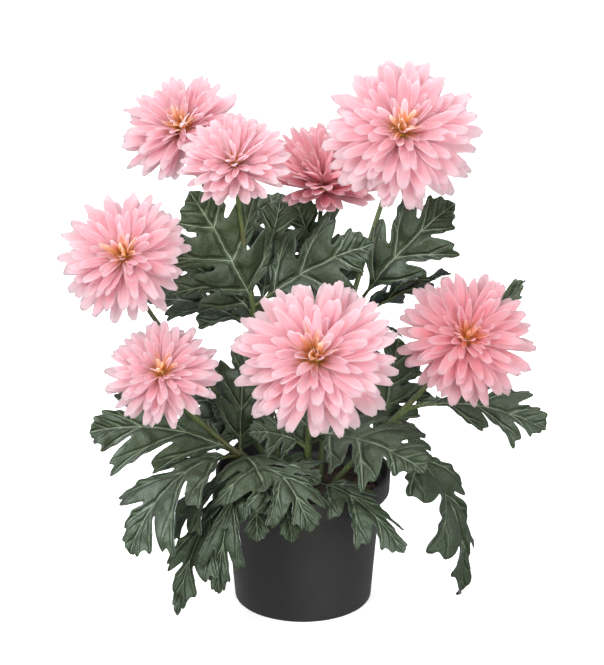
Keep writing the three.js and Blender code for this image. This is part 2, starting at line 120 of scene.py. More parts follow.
world = bpy.data.worlds.new("studio_world")
world.use_nodes = True
world.node_tree.nodes["Background"].inputs["Color"].default_value = (1, 1, 1, 1)
world.node_tree.nodes["Background"].inputs["Strength"].default_value = SKY_LIGHT
bpy.context.scene.world = world
bpy.context.scene.view_settings.view_transform = "Standard"
print("the studio has", len(bpy.data.lights), "lamps")

# %% [markdown]
# The floor is a white sheet. A sheet that is only lit falls off to grey, and needs far more light than
# a plant does, so this one glows a little by itself. Rays that have met the plant don't see it, so its
# glow doesn't wash out the colours of the leaves and the pot.

# %% Floor
FLOOR_SIZE = 20.0

bpy.ops.mesh.primitive_plane_add(size=FLOOR_SIZE)
floor = bpy.context.object
floor.name = "studio_floor"
floor_paint = bpy.data.materials.new("studio_floor")
floor_paint.use_nodes = True
floor_shader = floor_paint.node_tree.nodes["Principled BSDF"]
floor_shader.inputs["Base Color"].default_value = (0.9, 0.9, 0.9, 1)
floor_shader.inputs["Roughness"].default_value = 0.9
floor_shader.inputs["Emission Color"].default_value = (1, 1, 1, 1)
floor_shader.inputs["Emission Strength"].default_value = 0.6
floor.data.materials.append(floor_paint)
hide_from(floor, "diffuse", "glossy", "transmission")
print("the floor is", FLOOR_SIZE, "m wide")

# %% [markdown]
# ## Shared effects
# Four effects turn up on more than one finish, so each is a node group that is built once:
#
# - `mottle`, soft patches of light and dark, as on leaves, stems, the pot and the soil
# - `rib_line`, a thin line that tapers from a foot to a tip, for the ribs that fork through a leaf
# - `streaks`, fine lines along a blade, for the nerves on both faces of a petal
# - `rim_band`, a mask of the side edges and the tip of a blade, where petals are palest
#
# They could be painted on, but nodes stay sharp however near one looks, and they can differ from petal
# to petal. A node tree is written with a few short calls, which `Graph` holds.

# %% Node helpers


def new_group(name, vectors, **numbers):
    """An empty node group that takes these vectors and numbers and puts out one mask."""
    tree = bpy.data.node_groups.new(name, "ShaderNodeTree")
    for label in vectors:
        tree.interface.new_socket(label, in_out="INPUT", socket_type="NodeSocketVector")
    for label, value in numbers.items():
        socket = tree.interface.new_socket(label, in_out="INPUT", socket_type="NodeSocketFloat")
        socket.default_value = value
    tree.interface.new_socket("Mask", in_out="OUTPUT", socket_type="NodeSocketFloat")
    return tree, Graph(tree)


class Graph:
    """Short calls that add a node to a tree, set its inputs and link them."""

    def __init__(self, tree):
        self.tree = tree

    def add(self, kind, inputs=None, **settings):
        node = self.tree.nodes.new(kind)
        for key, value in settings.items():
            setattr(node, key, value)
        for key, value in (inputs or {}).items():
            self.put(node.inputs[key], value)
        return node

    def put(self, socket, value):
        if isinstance(value, bpy.types.NodeSocket):
            self.tree.links.new(value, socket)
        elif value is not None:
            socket.default_value = value

    def math(self, operation, first, second=None, clamp=False):
        inputs = {0: first} if second is None else {0: first, 1: second}
        return self.add("ShaderNodeMath", inputs, operation=operation, use_clamp=clamp).outputs[0]

    def plus(self, first, second):
        return self.math("ADD", first, second)

    def minus(self, first, second):
        return self.math("SUBTRACT", first, second)

    def times(self, first, second):
        return self.math("MULTIPLY", first, second)

    def vector(self, operation, first, second=None, scale=None):
        inputs = {0: first, 1: second}
        if scale is not None:
            inputs["Scale"] = scale
        node = self.add("ShaderNodeVectorMath", inputs, operation=operation)
        return node.outputs["Value" if operation in ("DOT_PRODUCT", "LENGTH") else "Vector"]

    def ramp(self, value, low, high, start=0.0, end=1.0):
        """value as a smooth step from start, at low, to end, at high."""
        inputs = {"Value": value, "From Min": low, "From Max": high, "To Min": start, "To Max": end}
        return self.add("ShaderNodeMapRange", inputs, interpolation_type="SMOOTHSTEP").outputs["Result"]

    def blend(self, share, first, second):
        """A colour between first and second."""
        node = self.add("ShaderNodeMix", data_type="RGBA")
        for socket, value in zip((node.inputs[0], node.inputs[6], node.inputs[7]), (share, first, second)):
            self.put(socket, value)
        return node.outputs[2]

    def mask(self, tree, **inputs):
        """What this group puts out for these inputs."""
        return self.add("ShaderNodeGroup", inputs, node_tree=tree).outputs["Mask"]

    def bump(self, height, distance, strength=1.0):
        inputs = {"Height": height, "Distance": distance, "Strength": strength}
        return self.add("ShaderNodeBump", inputs).outputs[0]

    def join(self, x, y, z):
        return self.add("ShaderNodeCombineXYZ", {0: x, 1: y, 2: z}).outputs[0]

    def split(self, vector):
        return self.add("ShaderNodeSeparateXYZ", {0: vector}).outputs

    def object_place(self):
        """The place of a point on the object, which noise is laid through."""
        return self.add("ShaderNodeTexCoord").outputs["Object"]

    def blade_place(self):
        """The place of a point on the flat pattern of a petal or leaf."""
        return self.add("ShaderNodeUVMap", uv_map="blade").outputs[0]

    def given(self, name):
        """A number that each petal or leaf is given when it is made."""
        return self.add("ShaderNodeAttribute", attribute_name=name).outputs["Fac"]


print("node helpers are ready")

# %% [markdown]
# Patches come from noise whose middle values are stretched to the full range, which leaves clear
# islands with soft shores. `Scale` is how many there are to a metre.

# %% Group: mottle
MOTTLE, g = new_group("mottle", ["Vector"], Scale=60.0, Detail=3.0)
sockets = g.add("NodeGroupInput").outputs
patches = g.add(
    "ShaderNodeTexNoise",
    {"Vector": sockets["Vector"], "Scale": sockets["Scale"], "Detail": sockets["Detail"], "Roughness": 0.6},
).outputs["Fac"]
g.add("NodeGroupOutput", {"Mask": g.ramp(patches, 0.3, 0.7)})
print("mottle has", len(MOTTLE.nodes), "nodes")

# %% [markdown]
# A rib is a straight line on the flat pattern of the leaf. The distance from a point to that line is
# what school geometry gives: follow the line as far as the point's shadow on it falls, no further than
# its ends, and measure from there. The line is full where the distance is nothing, and gone at its width.

# %% Group: rib line
RIB_LINE, g = new_group("rib_line", ["Point", "Foot", "Tip"], Width=0.01)
sockets = g.add("NodeGroupInput").outputs
from_foot = g.vector("SUBTRACT", sockets["Point"], sockets["Foot"])
whole = g.vector("SUBTRACT", sockets["Tip"], sockets["Foot"])
shadow = g.math(
    "DIVIDE", g.vector("DOT_PRODUCT", from_foot, whole), g.vector("DOT_PRODUCT", whole, whole), clamp=True
)
nearest = g.vector("SCALE", whole, scale=shadow)
distance = g.vector("LENGTH", g.vector("SUBTRACT", from_foot, nearest))
width = g.times(sockets["Width"], g.minus(1.0, g.times(shadow, 0.65)))
g.add("NodeGroupOutput", {"Mask": g.ramp(g.math("DIVIDE", distance, width), 0.35, 1.0, 1.0, 0.0)})
print("rib_line has", len(RIB_LINE.nodes), "nodes")

# %% [markdown]
# Streaks are noise that is squeezed across the blade and drawn out along it. Each petal's `tone` shifts
# it, so no two have the same lines. The rim band needs no noise: it is how near a point is to a side
# or to the tip.

# %% Group: streaks
STREAKS, g = new_group("streaks", ["UV"], Across=12.0, Along=1.2, Tone=0.0)
sockets = g.add("NodeGroupInput").outputs
stretch = g.join(sockets["Across"], sockets["Along"], 0.0)
shifted = g.join(0.0, 0.0, g.times(sockets["Tone"], 37.0))
place = g.vector("ADD", g.vector("MULTIPLY", sockets["UV"], stretch), shifted)
lines = g.add("ShaderNodeTexNoise", {"Vector": place, "Scale": 1.0, "Detail": 2.0}).outputs["Fac"]
g.add("NodeGroupOutput", {"Mask": g.ramp(lines, 0.36, 0.64)})
print("streaks has", len(STREAKS.nodes), "nodes")

# %% Group: rim band
RIM_BAND, g = new_group("rim_band", ["UV"], Side=0.2, Tip=0.12)
sockets = g.add("NodeGroupInput").outputs
across, along, _ = g.split(sockets["UV"])
from_middle = g.math("ABSOLUTE", g.minus(across, 0.5))
to_side = g.math("DIVIDE", g.minus(0.5, from_middle), sockets["Side"])
to_tip = g.math("DIVIDE", g.minus(1.0, along), sockets["Tip"])
g.add("NodeGroupOutput", {"Mask": g.ramp(g.math("MINIMUM", to_side, to_tip), 0.0, 1.0, 1.0, 0.0)})
print("rim_band has", len(RIM_BAND.nodes), "nodes")

# %% [markdown]
# ## Finishes
# A finish is one Principled shader, with colours that nodes work out and plain numbers set on its own
# sockets. Thin plant parts also let light through. Subsurface scattering could show that, but it is
# slow and meant for thick things, so petals and leaves mix in a Translucent shader.
#
# The finishes read three numbers that each petal or leaf is given when it is made. `tone`, from 0 to 1,
# keeps any two from being quite alike. `depth` is 0 on the outermost petals and up to 1 on the
# innermost. The third deepens the pink of a whole bloom. On the back middle bloom, which stands in
# shade, that deeper pink is painted shade.

# %% Finish helpers


def new_finish(name, **numbers):
    """A material and its graph. The numbers are set on the shader's own sockets."""
    material = bpy.data.materials.new(name)
    material.use_nodes = True
    g = Graph(material.node_tree)
    dress(g, **numbers)
    return material, g


def dress(g, **looks):
    """Sets or feeds sockets of the shader, such as Base_Color."""
    for label, value in looks.items():
        g.put(g.tree.nodes["Principled BSDF"].inputs[label.replace("_", " ")], value)


def let_light_through(g, colour, share):
    """Mixes the shader with light that comes through from the other side."""
    shader = g.tree.nodes["Principled BSDF"].outputs[0]
    through = g.add("ShaderNodeBsdfTranslucent", {"Color": colour}).outputs[0]
    mixed = g.add("ShaderNodeMixShader", {0: share, 1: shader, 2: through}).outputs[0]
    g.put(g.tree.nodes["Material Output"].inputs["Surface"], mixed)


print("finish helpers are ready")

# %% [markdown]
# A petal is palest at its rim and tip, a clear pink along its middle, and it turns salmon and then
# orange towards its root. Fine nerves run along it as streaks of a deeper pink, and the underside is a
# dustier pink. The innermost petals are orange nearly to their tips and let more light through, because
# the heart would be a dark pit otherwise. The pinks are close to white: light that passes through or
# between several petals takes on their colour each time.

# %% Petal finishes
PINK = (1.00, 0.84, 0.89, 1)
PALE_PINK = (1.00, 0.94, 0.97, 1)
DEEP_PINK = (1.00, 0.66, 0.71, 1)
SALMON = (1.00, 0.73, 0.67, 1)
ORANGE = (1.00, 0.76, 0.42, 1)
DUSTY_PINK = (1.00, 0.75, 0.78, 1)
DUSTY_PALE = (1.00, 0.86, 0.90, 1)
# painted shade: the tint that deepens a whole bloom's pink, given to the back middle bloom for the shade it
# stands in
DEEPER_PINK_TINT = (0.97, 0.78, 0.80)


def petal_finish(name, middle, rim, nerve, see_through):
    material, g = new_finish(name, Roughness=0.62)
    uv, tone, depth = g.blade_place(), g.given("tone"), g.given("depth")
    along = g.split(uv)[1]
    nerves = g.mask(STREAKS, UV=uv, Across=11.0, Along=1.4, Tone=tone)
    edge = g.mask(RIM_BAND, UV=uv, Side=0.14, Tip=0.30)
    colour = g.blend(g.times(tone, 0.6), middle, rim)
    colour = g.blend(g.times(nerves, 0.5), colour, nerve)
    colour = g.blend(g.times(edge, 0.85), colour, rim)
    salmon_to = g.plus(0.42, g.times(depth, 0.2))
    colour = g.blend(g.times(g.ramp(along, 0.0, salmon_to, 1.0, 0.0), 0.9), colour, SALMON)
    orange_to = g.plus(0.12, g.times(g.math("POWER", depth, 4.0), 1.3))
    colour = g.blend(g.ramp(along, 0.02, orange_to, 1.0, 0.0), colour, ORANGE)
    # a whole bloom's pink made deeper; on the back middle bloom this is painted shade
    colour = g.blend(g.given("deeper_pink"), colour, g.vector("MULTIPLY", colour, DEEPER_PINK_TINT))
    dress(g, Base_Color=colour, Normal=g.bump(nerves, 0.0005, 0.6))
    let_light_through(g, colour, g.plus(see_through, g.times(depth, 0.2)))
    return material


PETAL_FACE = petal_finish("petal_face", PINK, PALE_PINK, DEEP_PINK, 0.70)
PETAL_BACK = petal_finish("petal_back", DUSTY_PINK, DUSTY_PALE, DEEP_PINK, 0.70)
print("two petal finishes")

# %% [markdown]
# The petals stand on a little dome of tiny florets. They could be modelled one by one, but between the
# petals only a grainy orange-yellow shows, so fine mottle and its bump are enough.

# %% Floret finish
FLORET_ORANGE = (0.98, 0.62, 0.08, 1)
FLORET_YELLOW = (1.0, 0.80, 0.22, 1)

FLORETS, g = new_finish("florets", Roughness=0.8)
grains = g.mask(MOTTLE, Vector=g.object_place(), Scale=900.0)
dress(g, Base_Color=g.blend(grains, FLORET_ORANGE, FLORET_YELLOW), Normal=g.bump(grains, 0.0005))
print("one floret finish")

# %% [markdown]
# The flat pattern of a leaf has its ribs at known places, in shares of the blade's length, so the
# shader draws them from the same list that later folds the blade along them. A little noise sways
# them. The upper face is a dark bluish green under a glossy coat, with pale yellow-green ribs. The
# underside is a lighter, duller olive.
#
# A real blade is quilted: it sinks into a furrow along each rib and puckers up between them. Mesh that
# fine would be heavy, so a bump does it. The furrows are the same rib lines, drawn much wider.

# %% Leaf ribs
MIDRIB = ((0, 0), (0, 0.985))
LOBE_RIBS = [((0, 0.09), (0.325, 0.325)), ((0, 0.35), (0.335, 0.655)), ((0, 0.65), (0.150, 0.825))]
FORKS = [
    ((0.10, 0.162), (0.165, 0.160)),
    ((0.16, 0.206), (0.235, 0.225)),
    ((0.18, 0.220), (0.275, 0.385)),
    ((0.12, 0.459), (0.205, 0.472)),
    ((0.18, 0.514), (0.275, 0.545)),
    ((0.19, 0.523), (0.250, 0.710)),
    ((0.07, 0.732), (0.122, 0.755)),
    ((0, 0.78), (0.100, 0.895)),
    ((0, 0.88), (0.055, 0.945)),
]


def rib_mask(g, point, midrib_width, lobe_width, fork_width):
    """The lines of all the ribs. point has the distance from the midrib as its x."""
    mask = 0.0
    widths = [midrib_width] + [lobe_width] * len(LOBE_RIBS) + [fork_width] * len(FORKS)
    for (foot, tip), width in zip([MIDRIB] + LOBE_RIBS + FORKS, widths):
        line = g.mask(RIB_LINE, Point=point, Foot=(*foot, 0), Tip=(*tip, 0), Width=width)
        mask = g.math("MAXIMUM", mask, line)
    return mask


print("a leaf has", 1 + 2 * len(LOBE_RIBS), "main ribs and", 2 * len(FORKS), "forks")

# %% Leaf finishes
LEAF_GREEN = (0.002, 0.012, 0.009, 1)
LEAF_BLUE = (0.006, 0.030, 0.032, 1)
LEAF_OLIVE = (0.009, 0.016, 0.008, 1)
RIB_PALE = (0.40, 0.49, 0.32, 1)
UNDER_GREEN = (0.032, 0.050, 0.016, 1)
UNDER_PALE = (0.050, 0.072, 0.028, 1)
RIB_WIDTHS = (0.0056, 0.0036, 0.0013)  # of the midrib, the lobes' ribs and the forks
FURROW_WIDTHS = (0.050, 0.042, 0.034)


def leaf_finish(name, main, second, third, roughness, see_through, coat=0.0):
    material, g = new_finish(name, Coat_Weight=coat, Coat_Roughness=0.2, Coat_IOR=1.65)
    dress(g, Specular_IOR_Level=0.5, Specular_Tint=(0.84, 1.0, 1.0, 1))
    body = g.object_place()
    wander = g.add("ShaderNodeTexNoise", {"Vector": body, "Scale": 70.0}).outputs["Color"]
    sway = g.vector("SCALE", g.vector("SUBTRACT", wander, (0.5, 0.5, 0.5)), scale=0.035)
    across, along, _ = g.split(g.vector("ADD", g.blade_place(), sway))
    point = g.join(g.math("ABSOLUTE", g.minus(across, 0.5)), along, 0.0)
    ribs = rib_mask(g, point, *RIB_WIDTHS)
    furrows = rib_mask(g, point, *FURROW_WIDTHS)
    patches = g.mask(MOTTLE, Vector=body, Scale=55.0, Detail=4.0)
    fine = g.mask(MOTTLE, Vector=body, Scale=420.0, Detail=2.0)
    cells = g.add("ShaderNodeTexVoronoi", {"Vector": body, "Scale": 300.0}, feature="DISTANCE_TO_EDGE")
    net = g.ramp(cells.outputs["Distance"], 0.0, 0.12, 1.0, 0.0)
    colour = g.blend(patches, main, second)
    colour = g.blend(g.times(g.given("tone"), 0.4), colour, third)
    colour = g.blend(g.times(fine, 0.25), colour, second)
    colour = g.blend(g.times(net, 0.05), colour, RIB_PALE)
    colour = g.blend(g.times(ribs, 0.7), colour, RIB_PALE)
    puckers = g.mask(MOTTLE, Vector=body, Scale=52.0, Detail=1.0)
    relief = g.minus(g.times(net, -0.03), g.times(furrows, 0.45))
    relief = g.plus(relief, g.times(fine, 0.03))
    relief = g.plus(relief, puckers)
    dress(g, Base_Color=colour, Normal=g.bump(relief, 0.0042))
    dress(g, Roughness=g.ramp(patches, 0.0, 1.0, roughness - 0.05, roughness + 0.10))
    let_light_through(g, colour, see_through)
    return material


LEAF_FACE = leaf_finish("leaf_face", LEAF_GREEN, LEAF_BLUE, LEAF_OLIVE, 0.22, 0.06, coat=0.8)
LEAF_BACK = leaf_finish("leaf_back", UNDER_GREEN, UNDER_PALE, LEAF_OLIVE, 0.62, 0.08)
print("two leaf finishes")

# %% [markdown]
# Stems and stalks are olive green with long ridges, and here and there a flush of dull red. The ridges
# are mottle again, squeezed sideways until its patches become lines.

# %% Stem finish
STEM_GREEN = (0.055, 0.085, 0.022, 1)
STEM_PALE = (0.115, 0.155, 0.048, 1)
STEM_RED = (0.085, 0.060, 0.025, 1)
RIDGES_A_METRE = (900.0, 900.0, 40.0)

STEM_SKIN, g = new_finish("stem_skin", Roughness=0.5)
body = g.object_place()
squeezed = g.vector("MULTIPLY", body, RIDGES_A_METRE)
ridges = g.mask(MOTTLE, Vector=squeezed, Scale=1.0, Detail=1.0)
flush = g.mask(MOTTLE, Vector=body, Scale=28.0, Detail=2.0)
colour = g.blend(ridges, STEM_GREEN, STEM_PALE)
colour = g.blend(g.times(g.ramp(flush, 0.65, 1.0), 0.5), colour, STEM_RED)
dress(g, Base_Color=colour, Normal=g.bump(ridges, 0.0004, 0.6))
print("one stem finish")

# %% [markdown]
# The pot is moulded plastic, nearly black, with a fine grain from the mould and the dull bloom that
# handling and damp leave on it. The soil is dark and damp, with paler crumbs and fibres. Both are
# mottle at several sizes: coarse for the dull bloom and the clods, fine for the grain and the straw.

# %% Pot and soil finishes
POT_BLACK = (0.013, 0.0120, 0.0114, 1)
POT_GREY = (0.020, 0.0186, 0.0178, 1)
SOIL_DARK = (0.022, 0.011, 0.007, 1)
SOIL_BROWN = (0.085, 0.040, 0.024, 1)
SOIL_STRAW = (0.30, 0.20, 0.10, 1)

POT_PLASTIC, g = new_finish("pot_plastic", Specular_IOR_Level=0.55)
body = g.object_place()
dull = g.mask(MOTTLE, Vector=body, Scale=22.0, Detail=5.0)
grain = g.mask(MOTTLE, Vector=body, Scale=2200.0, Detail=1.0)
colour = g.blend(g.times(dull, 0.6), POT_BLACK, POT_GREY)
dress(g, Base_Color=colour, Normal=g.bump(grain, 0.00008, 0.5))
dress(g, Roughness=g.ramp(dull, 0.0, 1.0, 0.44, 0.56))

SOIL_CRUMBS, g = new_finish("soil_crumbs", Roughness=0.9)
body = g.object_place()
clods = g.mask(MOTTLE, Vector=body, Scale=160.0, Detail=6.0)
straw = g.mask(MOTTLE, Vector=g.vector("MULTIPLY", body, (1.0, 3.0, 1.0)), Scale=380.0, Detail=1.0)
colour = g.blend(clods, SOIL_DARK, SOIL_BROWN)
colour = g.blend(g.times(g.ramp(straw, 0.93, 1.0), 0.6), colour, SOIL_STRAW)
dress(g, Base_Color=colour, Normal=g.bump(clods, 0.0012))
print("a pot finish and a soil finish")

# %% [markdown]
# ## The plan of the plant
# These are the same stems, blooms and leaves as in the frame. `turn` and `heading` are compass
# headings: 0 is to the right, and -90 the front. They could be scattered by chance, which would be
# shorter, but then the plant wouldn't stand where its frame says.
#
# - A stem starts at `root`, goes straight up as if for `lift`, and comes to its bloom along the
#   bloom's own line as if for `neck`. `hang` lets it come from further below.
# - A bloom is `at` a place, looks `tilt` above the level, and has about twice as many petals as
#   `petals` says, shared out over its rounds. `cup` closes it, in degrees, and one more number
#   deepens its pink, which on the back middle bloom is painted shade.
# - A leaf leaves its stem at the height `z`, at `rise` above the level, bends down by `droop` along
#   its length and is turned about its rib by `roll`. `length` is the blade's and `stalk` the
#   stalk's. `spread` scales the widths of its two halves, and `sweep` slides the lobes of each
#   towards the tip. Their first numbers are for the half that lies 90 degrees on from the heading.

# %% Stems, blooms and leaves


def leaf(z, heading, rise, droop, length, stalk, roll=0, spread=(1, 1), sweep=(0.2, 0.2)):
    pose = dict(z=z, heading=heading, rise=rise, droop=droop, roll=roll)
    return dict(pose, length=length, stalk=stalk, spread=spread, sweep=sweep)


STEMS = {
    "back_left": dict(
        root=(-0.012, 0.012), lift=0.110, neck=0.050,
        bloom=dict(at=(-0.082, 0.055, 0.320), turn=-108, tilt=57, radius=0.0455, petals=64),
        leaves=[
            leaf(0.170, 110, 40, 70, 0.078, 0.016),
            leaf(0.215, 150, 40, 60, 0.074, 0.014),
            leaf(0.235, 60, 45, 60, 0.066, 0.014),
            leaf(0.118, 112, 24, 72, 0.074, 0.018),
        ],
    ),
    "high_left": dict(
        root=(-0.016, 0.002), lift=0.020, neck=0.070,
        bloom=dict(at=(-0.045, 0, 0.312), turn=-92, tilt=56, radius=0.039, petals=60, cup=8),
        leaves=[
            leaf(0.205, -172, 69, 12, 0.089, 0.006, roll=-80, spread=(1.4, 1.3), sweep=(0.1, 0.1)),
            leaf(0.205, -11, 43, 23, 0.086, 0.012, roll=60, spread=(1.1, 1.2), sweep=(0.1, 0.1)),
            leaf(0.188, 176, 37, 44, 0.070, 0.012, roll=-24, spread=(0.95, 1.2)),
            leaf(0.198, -175, 52, 28, 0.078, 0.006, roll=-60, spread=(1.0, 1.2)),
            leaf(0.108, -170, 62, 50, 0.052, 0.006, roll=-60, spread=(1.6, 1.3)),
            leaf(0.190, 60, 72, 6, 0.068, 0.022, roll=28, spread=(1.2, 1.2)),
        ],
    ),
    "back_middle": dict(
        root=(0.004, 0.016), lift=0.090, neck=0.050,
        # its pink is deepened as painted shade, for the shade this bloom stands in
        bloom=dict(at=(0.014, 0.075, 0.276), turn=-80, tilt=66, radius=0.046, petals=64, cup=22, deeper_pink=0.6),
        leaves=[
            leaf(0.200, 180, 88, 16, 0.062, 0.010, roll=-70, spread=(1.4, 1.4)),
            leaf(0.165, 85, 35, 70, 0.080, 0.016),
            leaf(0.182, 34, 72, 30, 0.052, 0.012, roll=50),
            leaf(0.110, 85, 22, 74, 0.074, 0.018),
            leaf(0.138, 140, 30, 70, 0.070, 0.016),
        ],
    ),
    "high_right": dict(
        root=(0.012, 0.006), lift=0.090, neck=0.040,
        bloom=dict(at=(0.066, 0.020, 0.328), turn=-90, tilt=38, radius=0.0525, petals=78),
        leaves=[
            leaf(0.194, -4, 60, 20, 0.086, 0.028, roll=62, spread=(1.05, 1), sweep=(0.3, 0.3)),
            leaf(0.190, -5, 42, 24, 0.072, 0.012, roll=-30),
            leaf(0.170, 64, 30, 70, 0.066, 0.018),
            leaf(0.118, 30, 24, 74, 0.068, 0.018),
            leaf(0.146, 66, 30, 70, 0.070, 0.016),
        ],
    ),
    "left": dict(
        root=(-0.022, 0.002), lift=0.040, neck=0.020, hang=0.040,
        bloom=dict(at=(-0.118, -0.010, 0.251), turn=-100, tilt=40, radius=0.046, petals=64),
        leaves=[
            leaf(0.104, 172, 54, 26, 0.062, 0.014, roll=-50, spread=(1.2, 1.2)),
            leaf(0.112, 150, 22, 70, 0.070, 0.018),
        ],
    ),
    "low_left": dict(
        root=(-0.018, -0.014), lift=0.008, neck=0.045,
        bloom=dict(at=(-0.092, -0.060, 0.187), turn=-92, tilt=45, radius=0.039, petals=60),
        leaves=[
            leaf(0.106, -166, 42, 50, 0.102, 0.016, roll=-42, spread=(1.0, 0.8), sweep=(0.75, 0.35)),
            leaf(0.110, -135, 26, 92, 0.107, 0.016, spread=(1.0, 0.7), sweep=(0.7, 0.15)),
            leaf(0.100, -124, 6, 86, 0.108, 0.022, spread=(0.68, 0.34), sweep=(0.1, 0.1)),
            leaf(0.112, -68, 26, 90, 0.060, 0.010, spread=(1.4, 1.9), sweep=(0.2, 0.2)),
            leaf(0.112, 76, 88, 24, 0.076, 0.006, spread=(0.8, 0.85)),
            leaf(0.146, 176, 72, 20, 0.046, 0.014, roll=-60),
            leaf(0.100, -40, 22, 32, 0.046, 0.010, roll=30, spread=(1.2, 1.3)),
            leaf(0.102, -62, 30, 82, 0.076, 0.014, roll=6, spread=(0.8, 0.9), sweep=(0.4, 0.4)),
            leaf(0.098, -92, 36, 114, 0.054, 0.024, sweep=(0.3, 0.3)),
            leaf(0.104, -66, 32, 112, 0.052, 0.034),
            leaf(0.104, -105, 14, 98, 0.099, 0.016, spread=(0.5, 0.4), sweep=(0.4, 0.4)),
            leaf(0.098, -141, 14, 70, 0.078, 0.016, roll=10, sweep=(0.3, 0.3)),
        ],
    ),
    "front": dict(
        root=(0.002, -0.018), lift=0.050, neck=0.030,
        bloom=dict(at=(0.008, -0.075, 0.203), turn=-94, tilt=42, radius=0.055, petals=78),
        leaves=[
            leaf(0.092, -49, 20, 62, 0.091, 0.014, roll=6, spread=(0.38, 0.95), sweep=(0.45, 0.45)),
            leaf(0.130, -33, 18, 44, 0.084, 0.010, roll=15, spread=(1.4, 1.35), sweep=(0.1, 0.1)),
            leaf(0.118, -154, 47, 46, 0.042, 0.008, roll=-44, spread=(1.3, 1.3)),
            leaf(0.108, 80, 86, 20, 0.050, 0.008, spread=(1.5, 1.5)),
        ],
    ),
    "right": dict(
        root=(0.020, -0.008), lift=0.005, neck=0.028,
        bloom=dict(at=(0.108, -0.030, 0.200), turn=-82, tilt=40, radius=0.048, petals=64, deeper_pink=0.4),
        leaves=[
            leaf(0.124, -29, -14, 94, 0.119, 0.020, roll=-6, spread=(0.6, 1.15), sweep=(0.1, -0.3)),
            leaf(0.142, -6, 16, 46, 0.078, 0.022, roll=26, spread=(1.2, 0.95), sweep=(0.3, 0.3)),
            leaf(0.126, 66, 74, 16, 0.052, 0.012, roll=50, spread=(1.4, 1.4)),
            leaf(0.150, 15, 47, 4, 0.100, 0.010, roll=20, spread=(0.35, 0.5), sweep=(0.4, 0.4)),
            leaf(0.114, 46, 60, 20, 0.060, 0.012, roll=50, spread=(1.3, 1.3)),
            leaf(0.134, -30, -20, 50, 0.030, 0.010, roll=10),
            leaf(0.134, 40, 20, 70, 0.070, 0.018),
        ],
    ),
}
print(len(STEMS), "stems with", sum(len(s["leaves"]) for s in STEMS.values()), "leaves")

# %% [markdown]
# Some sizes are shared by pieces that have to meet, such as a stem, the calyx on it and the bloom in
# that. They stand here once, with the two small functions that say where a bloom looks and begins.

# %% Sizes
SOIL_TOP = 0.082  # under the stems, in the middle of the pot
SOIL_CROWN = 0.003
STEM_ROOT, STEM_NECK = 0.0020, 0.0015  # radii
HEAD = 0.15  # the radius of a bloom's head, as a share of the bloom's
HEAD_HEIGHT = 1.5  # in radii of the head
CALYX_HEIGHT = 0.009
LEAF_THICKNESS = 0.0005
PETAL_THICKNESS = 0.00028


def facing(turn, tilt):
    """The direction of a compass heading at an angle above the level."""
    heading, height = math.radians(turn), math.radians(tilt)
    level = math.cos(height)
    return np.array((level * math.cos(heading), level * math.sin(heading), math.sin(height)))


def bloom_foot(bloom):
    """The foot of the bloom's head, where the calyx holds it."""
    return np.array(bloom["at"]) - facing(bloom["turn"], bloom["tilt"]) * 0.5 * HEAD * bloom["radius"]


print("the largest bloom is", round(2000 * max(s["bloom"]["radius"] for s in STEMS.values())), "mm wide")

# %% [markdown]
# ## Making meshes
# Leaves, petals, stems and bracts all end up as arrays of points and faces. One petal could be modelled
# and handed out as instances, but here each differs from the next, and the library stores plain
# meshes. So `Pile` gathers them, with the flat pattern's coordinates and the numbers that the finishes
# read, and then makes one Blender object of them. A blade is made as a single sheet, and a Solidify
# modifier gives it its thickness and puts the back's finish on its other side.

# %% Pile


class Pile:
    """Points and faces that wait to become one object."""

    def __init__(self):
        self.points, self.faces, self.flat = [], [], []
        self.marks = {"tone": [], "depth": [], "deeper_pink": []}
        self.count = 0

    def add(self, points, faces, flat=None, tone=0.5, depth=0.0, deeper_pink=0.0):
        self.points.append(points)
        self.faces += [[int(corner) + self.count for corner in face] for face in faces]
        self.flat.append(np.zeros((len(points), 2)) if flat is None else np.asarray(flat).reshape(-1, 2))
        for label, value in (("tone", tone), ("depth", depth), ("deeper_pink", deeper_pink)):
            self.marks[label].append(np.full(len(points), value))
        self.count += len(points)

    def piece(self, name, materials, thickness=0.0):
        """The object. Its underside, if it has a thickness, takes the second material."""
        mesh = bpy.data.meshes.new(name)
        mesh.from_pydata(np.concatenate(self.points).tolist(), [], self.faces)
        for material in materials:
            mesh.materials.append(material)
        mesh.polygons.foreach_set("use_smooth", [True] * len(self.faces))
        corners = np.zeros(len(mesh.loops), int)
        mesh.loops.foreach_get("vertex_index", corners)
        flat = np.concatenate(self.flat)[corners]
        mesh.uv_layers.new(name="blade").data.foreach_set("uv", flat.ravel())
        for label, values in self.marks.items():
            mesh.attributes.new(label, "FLOAT", "POINT").data.foreach_set("value", np.concatenate(values))
        mesh.update()
        made = in_scene(name, mesh)
        if thickness:
            solid = made.modifiers.new("thickness", "SOLIDIFY")
            solid.thickness = thickness
            solid.offset = 0
            solid.material_offset = 1
            solid.material_offset_rim = 0
        return made


def grid_faces(rows, columns):
    """The quads of a grid whose points run row by row."""
    first = np.arange((rows - 1) * columns).reshape(rows - 1, columns)[:, :-1].ravel()
    return np.stack((first, first + 1, first + columns + 1, first + columns), axis=1)


def mount(piece, slot, *nodes):
    """The piece stands for these nodes of the frame, which are hidden. slot is not used."""
    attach(piece, "root")
    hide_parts(*nodes)


print("a pile makes one object")

# %% [markdown]
# ## Tubes
# A stem is a tube that follows a curve. Blender can give a curve a round bevel, but this tube also
# needs ridges along it and a swelling at each leaf, so its rings are laid here. A ring has to turn with
# the curve without twisting, so each one takes the one before it and only tips it as far as the curve
# has bent.

# %% Tube
ANY_WAY = (0.31, 0.87, 0.12)  # the first ring starts square to this, which no tube runs along


def unit(vectors):
    return vectors / np.linalg.norm(vectors, axis=-1, keepdims=True)


def ring_faces(rings, sides):
    """The quads between closed rings of points."""
    faces = []
    for k in range(rings - 1):
        for i in range(sides):
            a, b = k * sides + i, k * sides + (i + 1) % sides
            faces.append((a, b, b + sides, a + sides))
    return faces


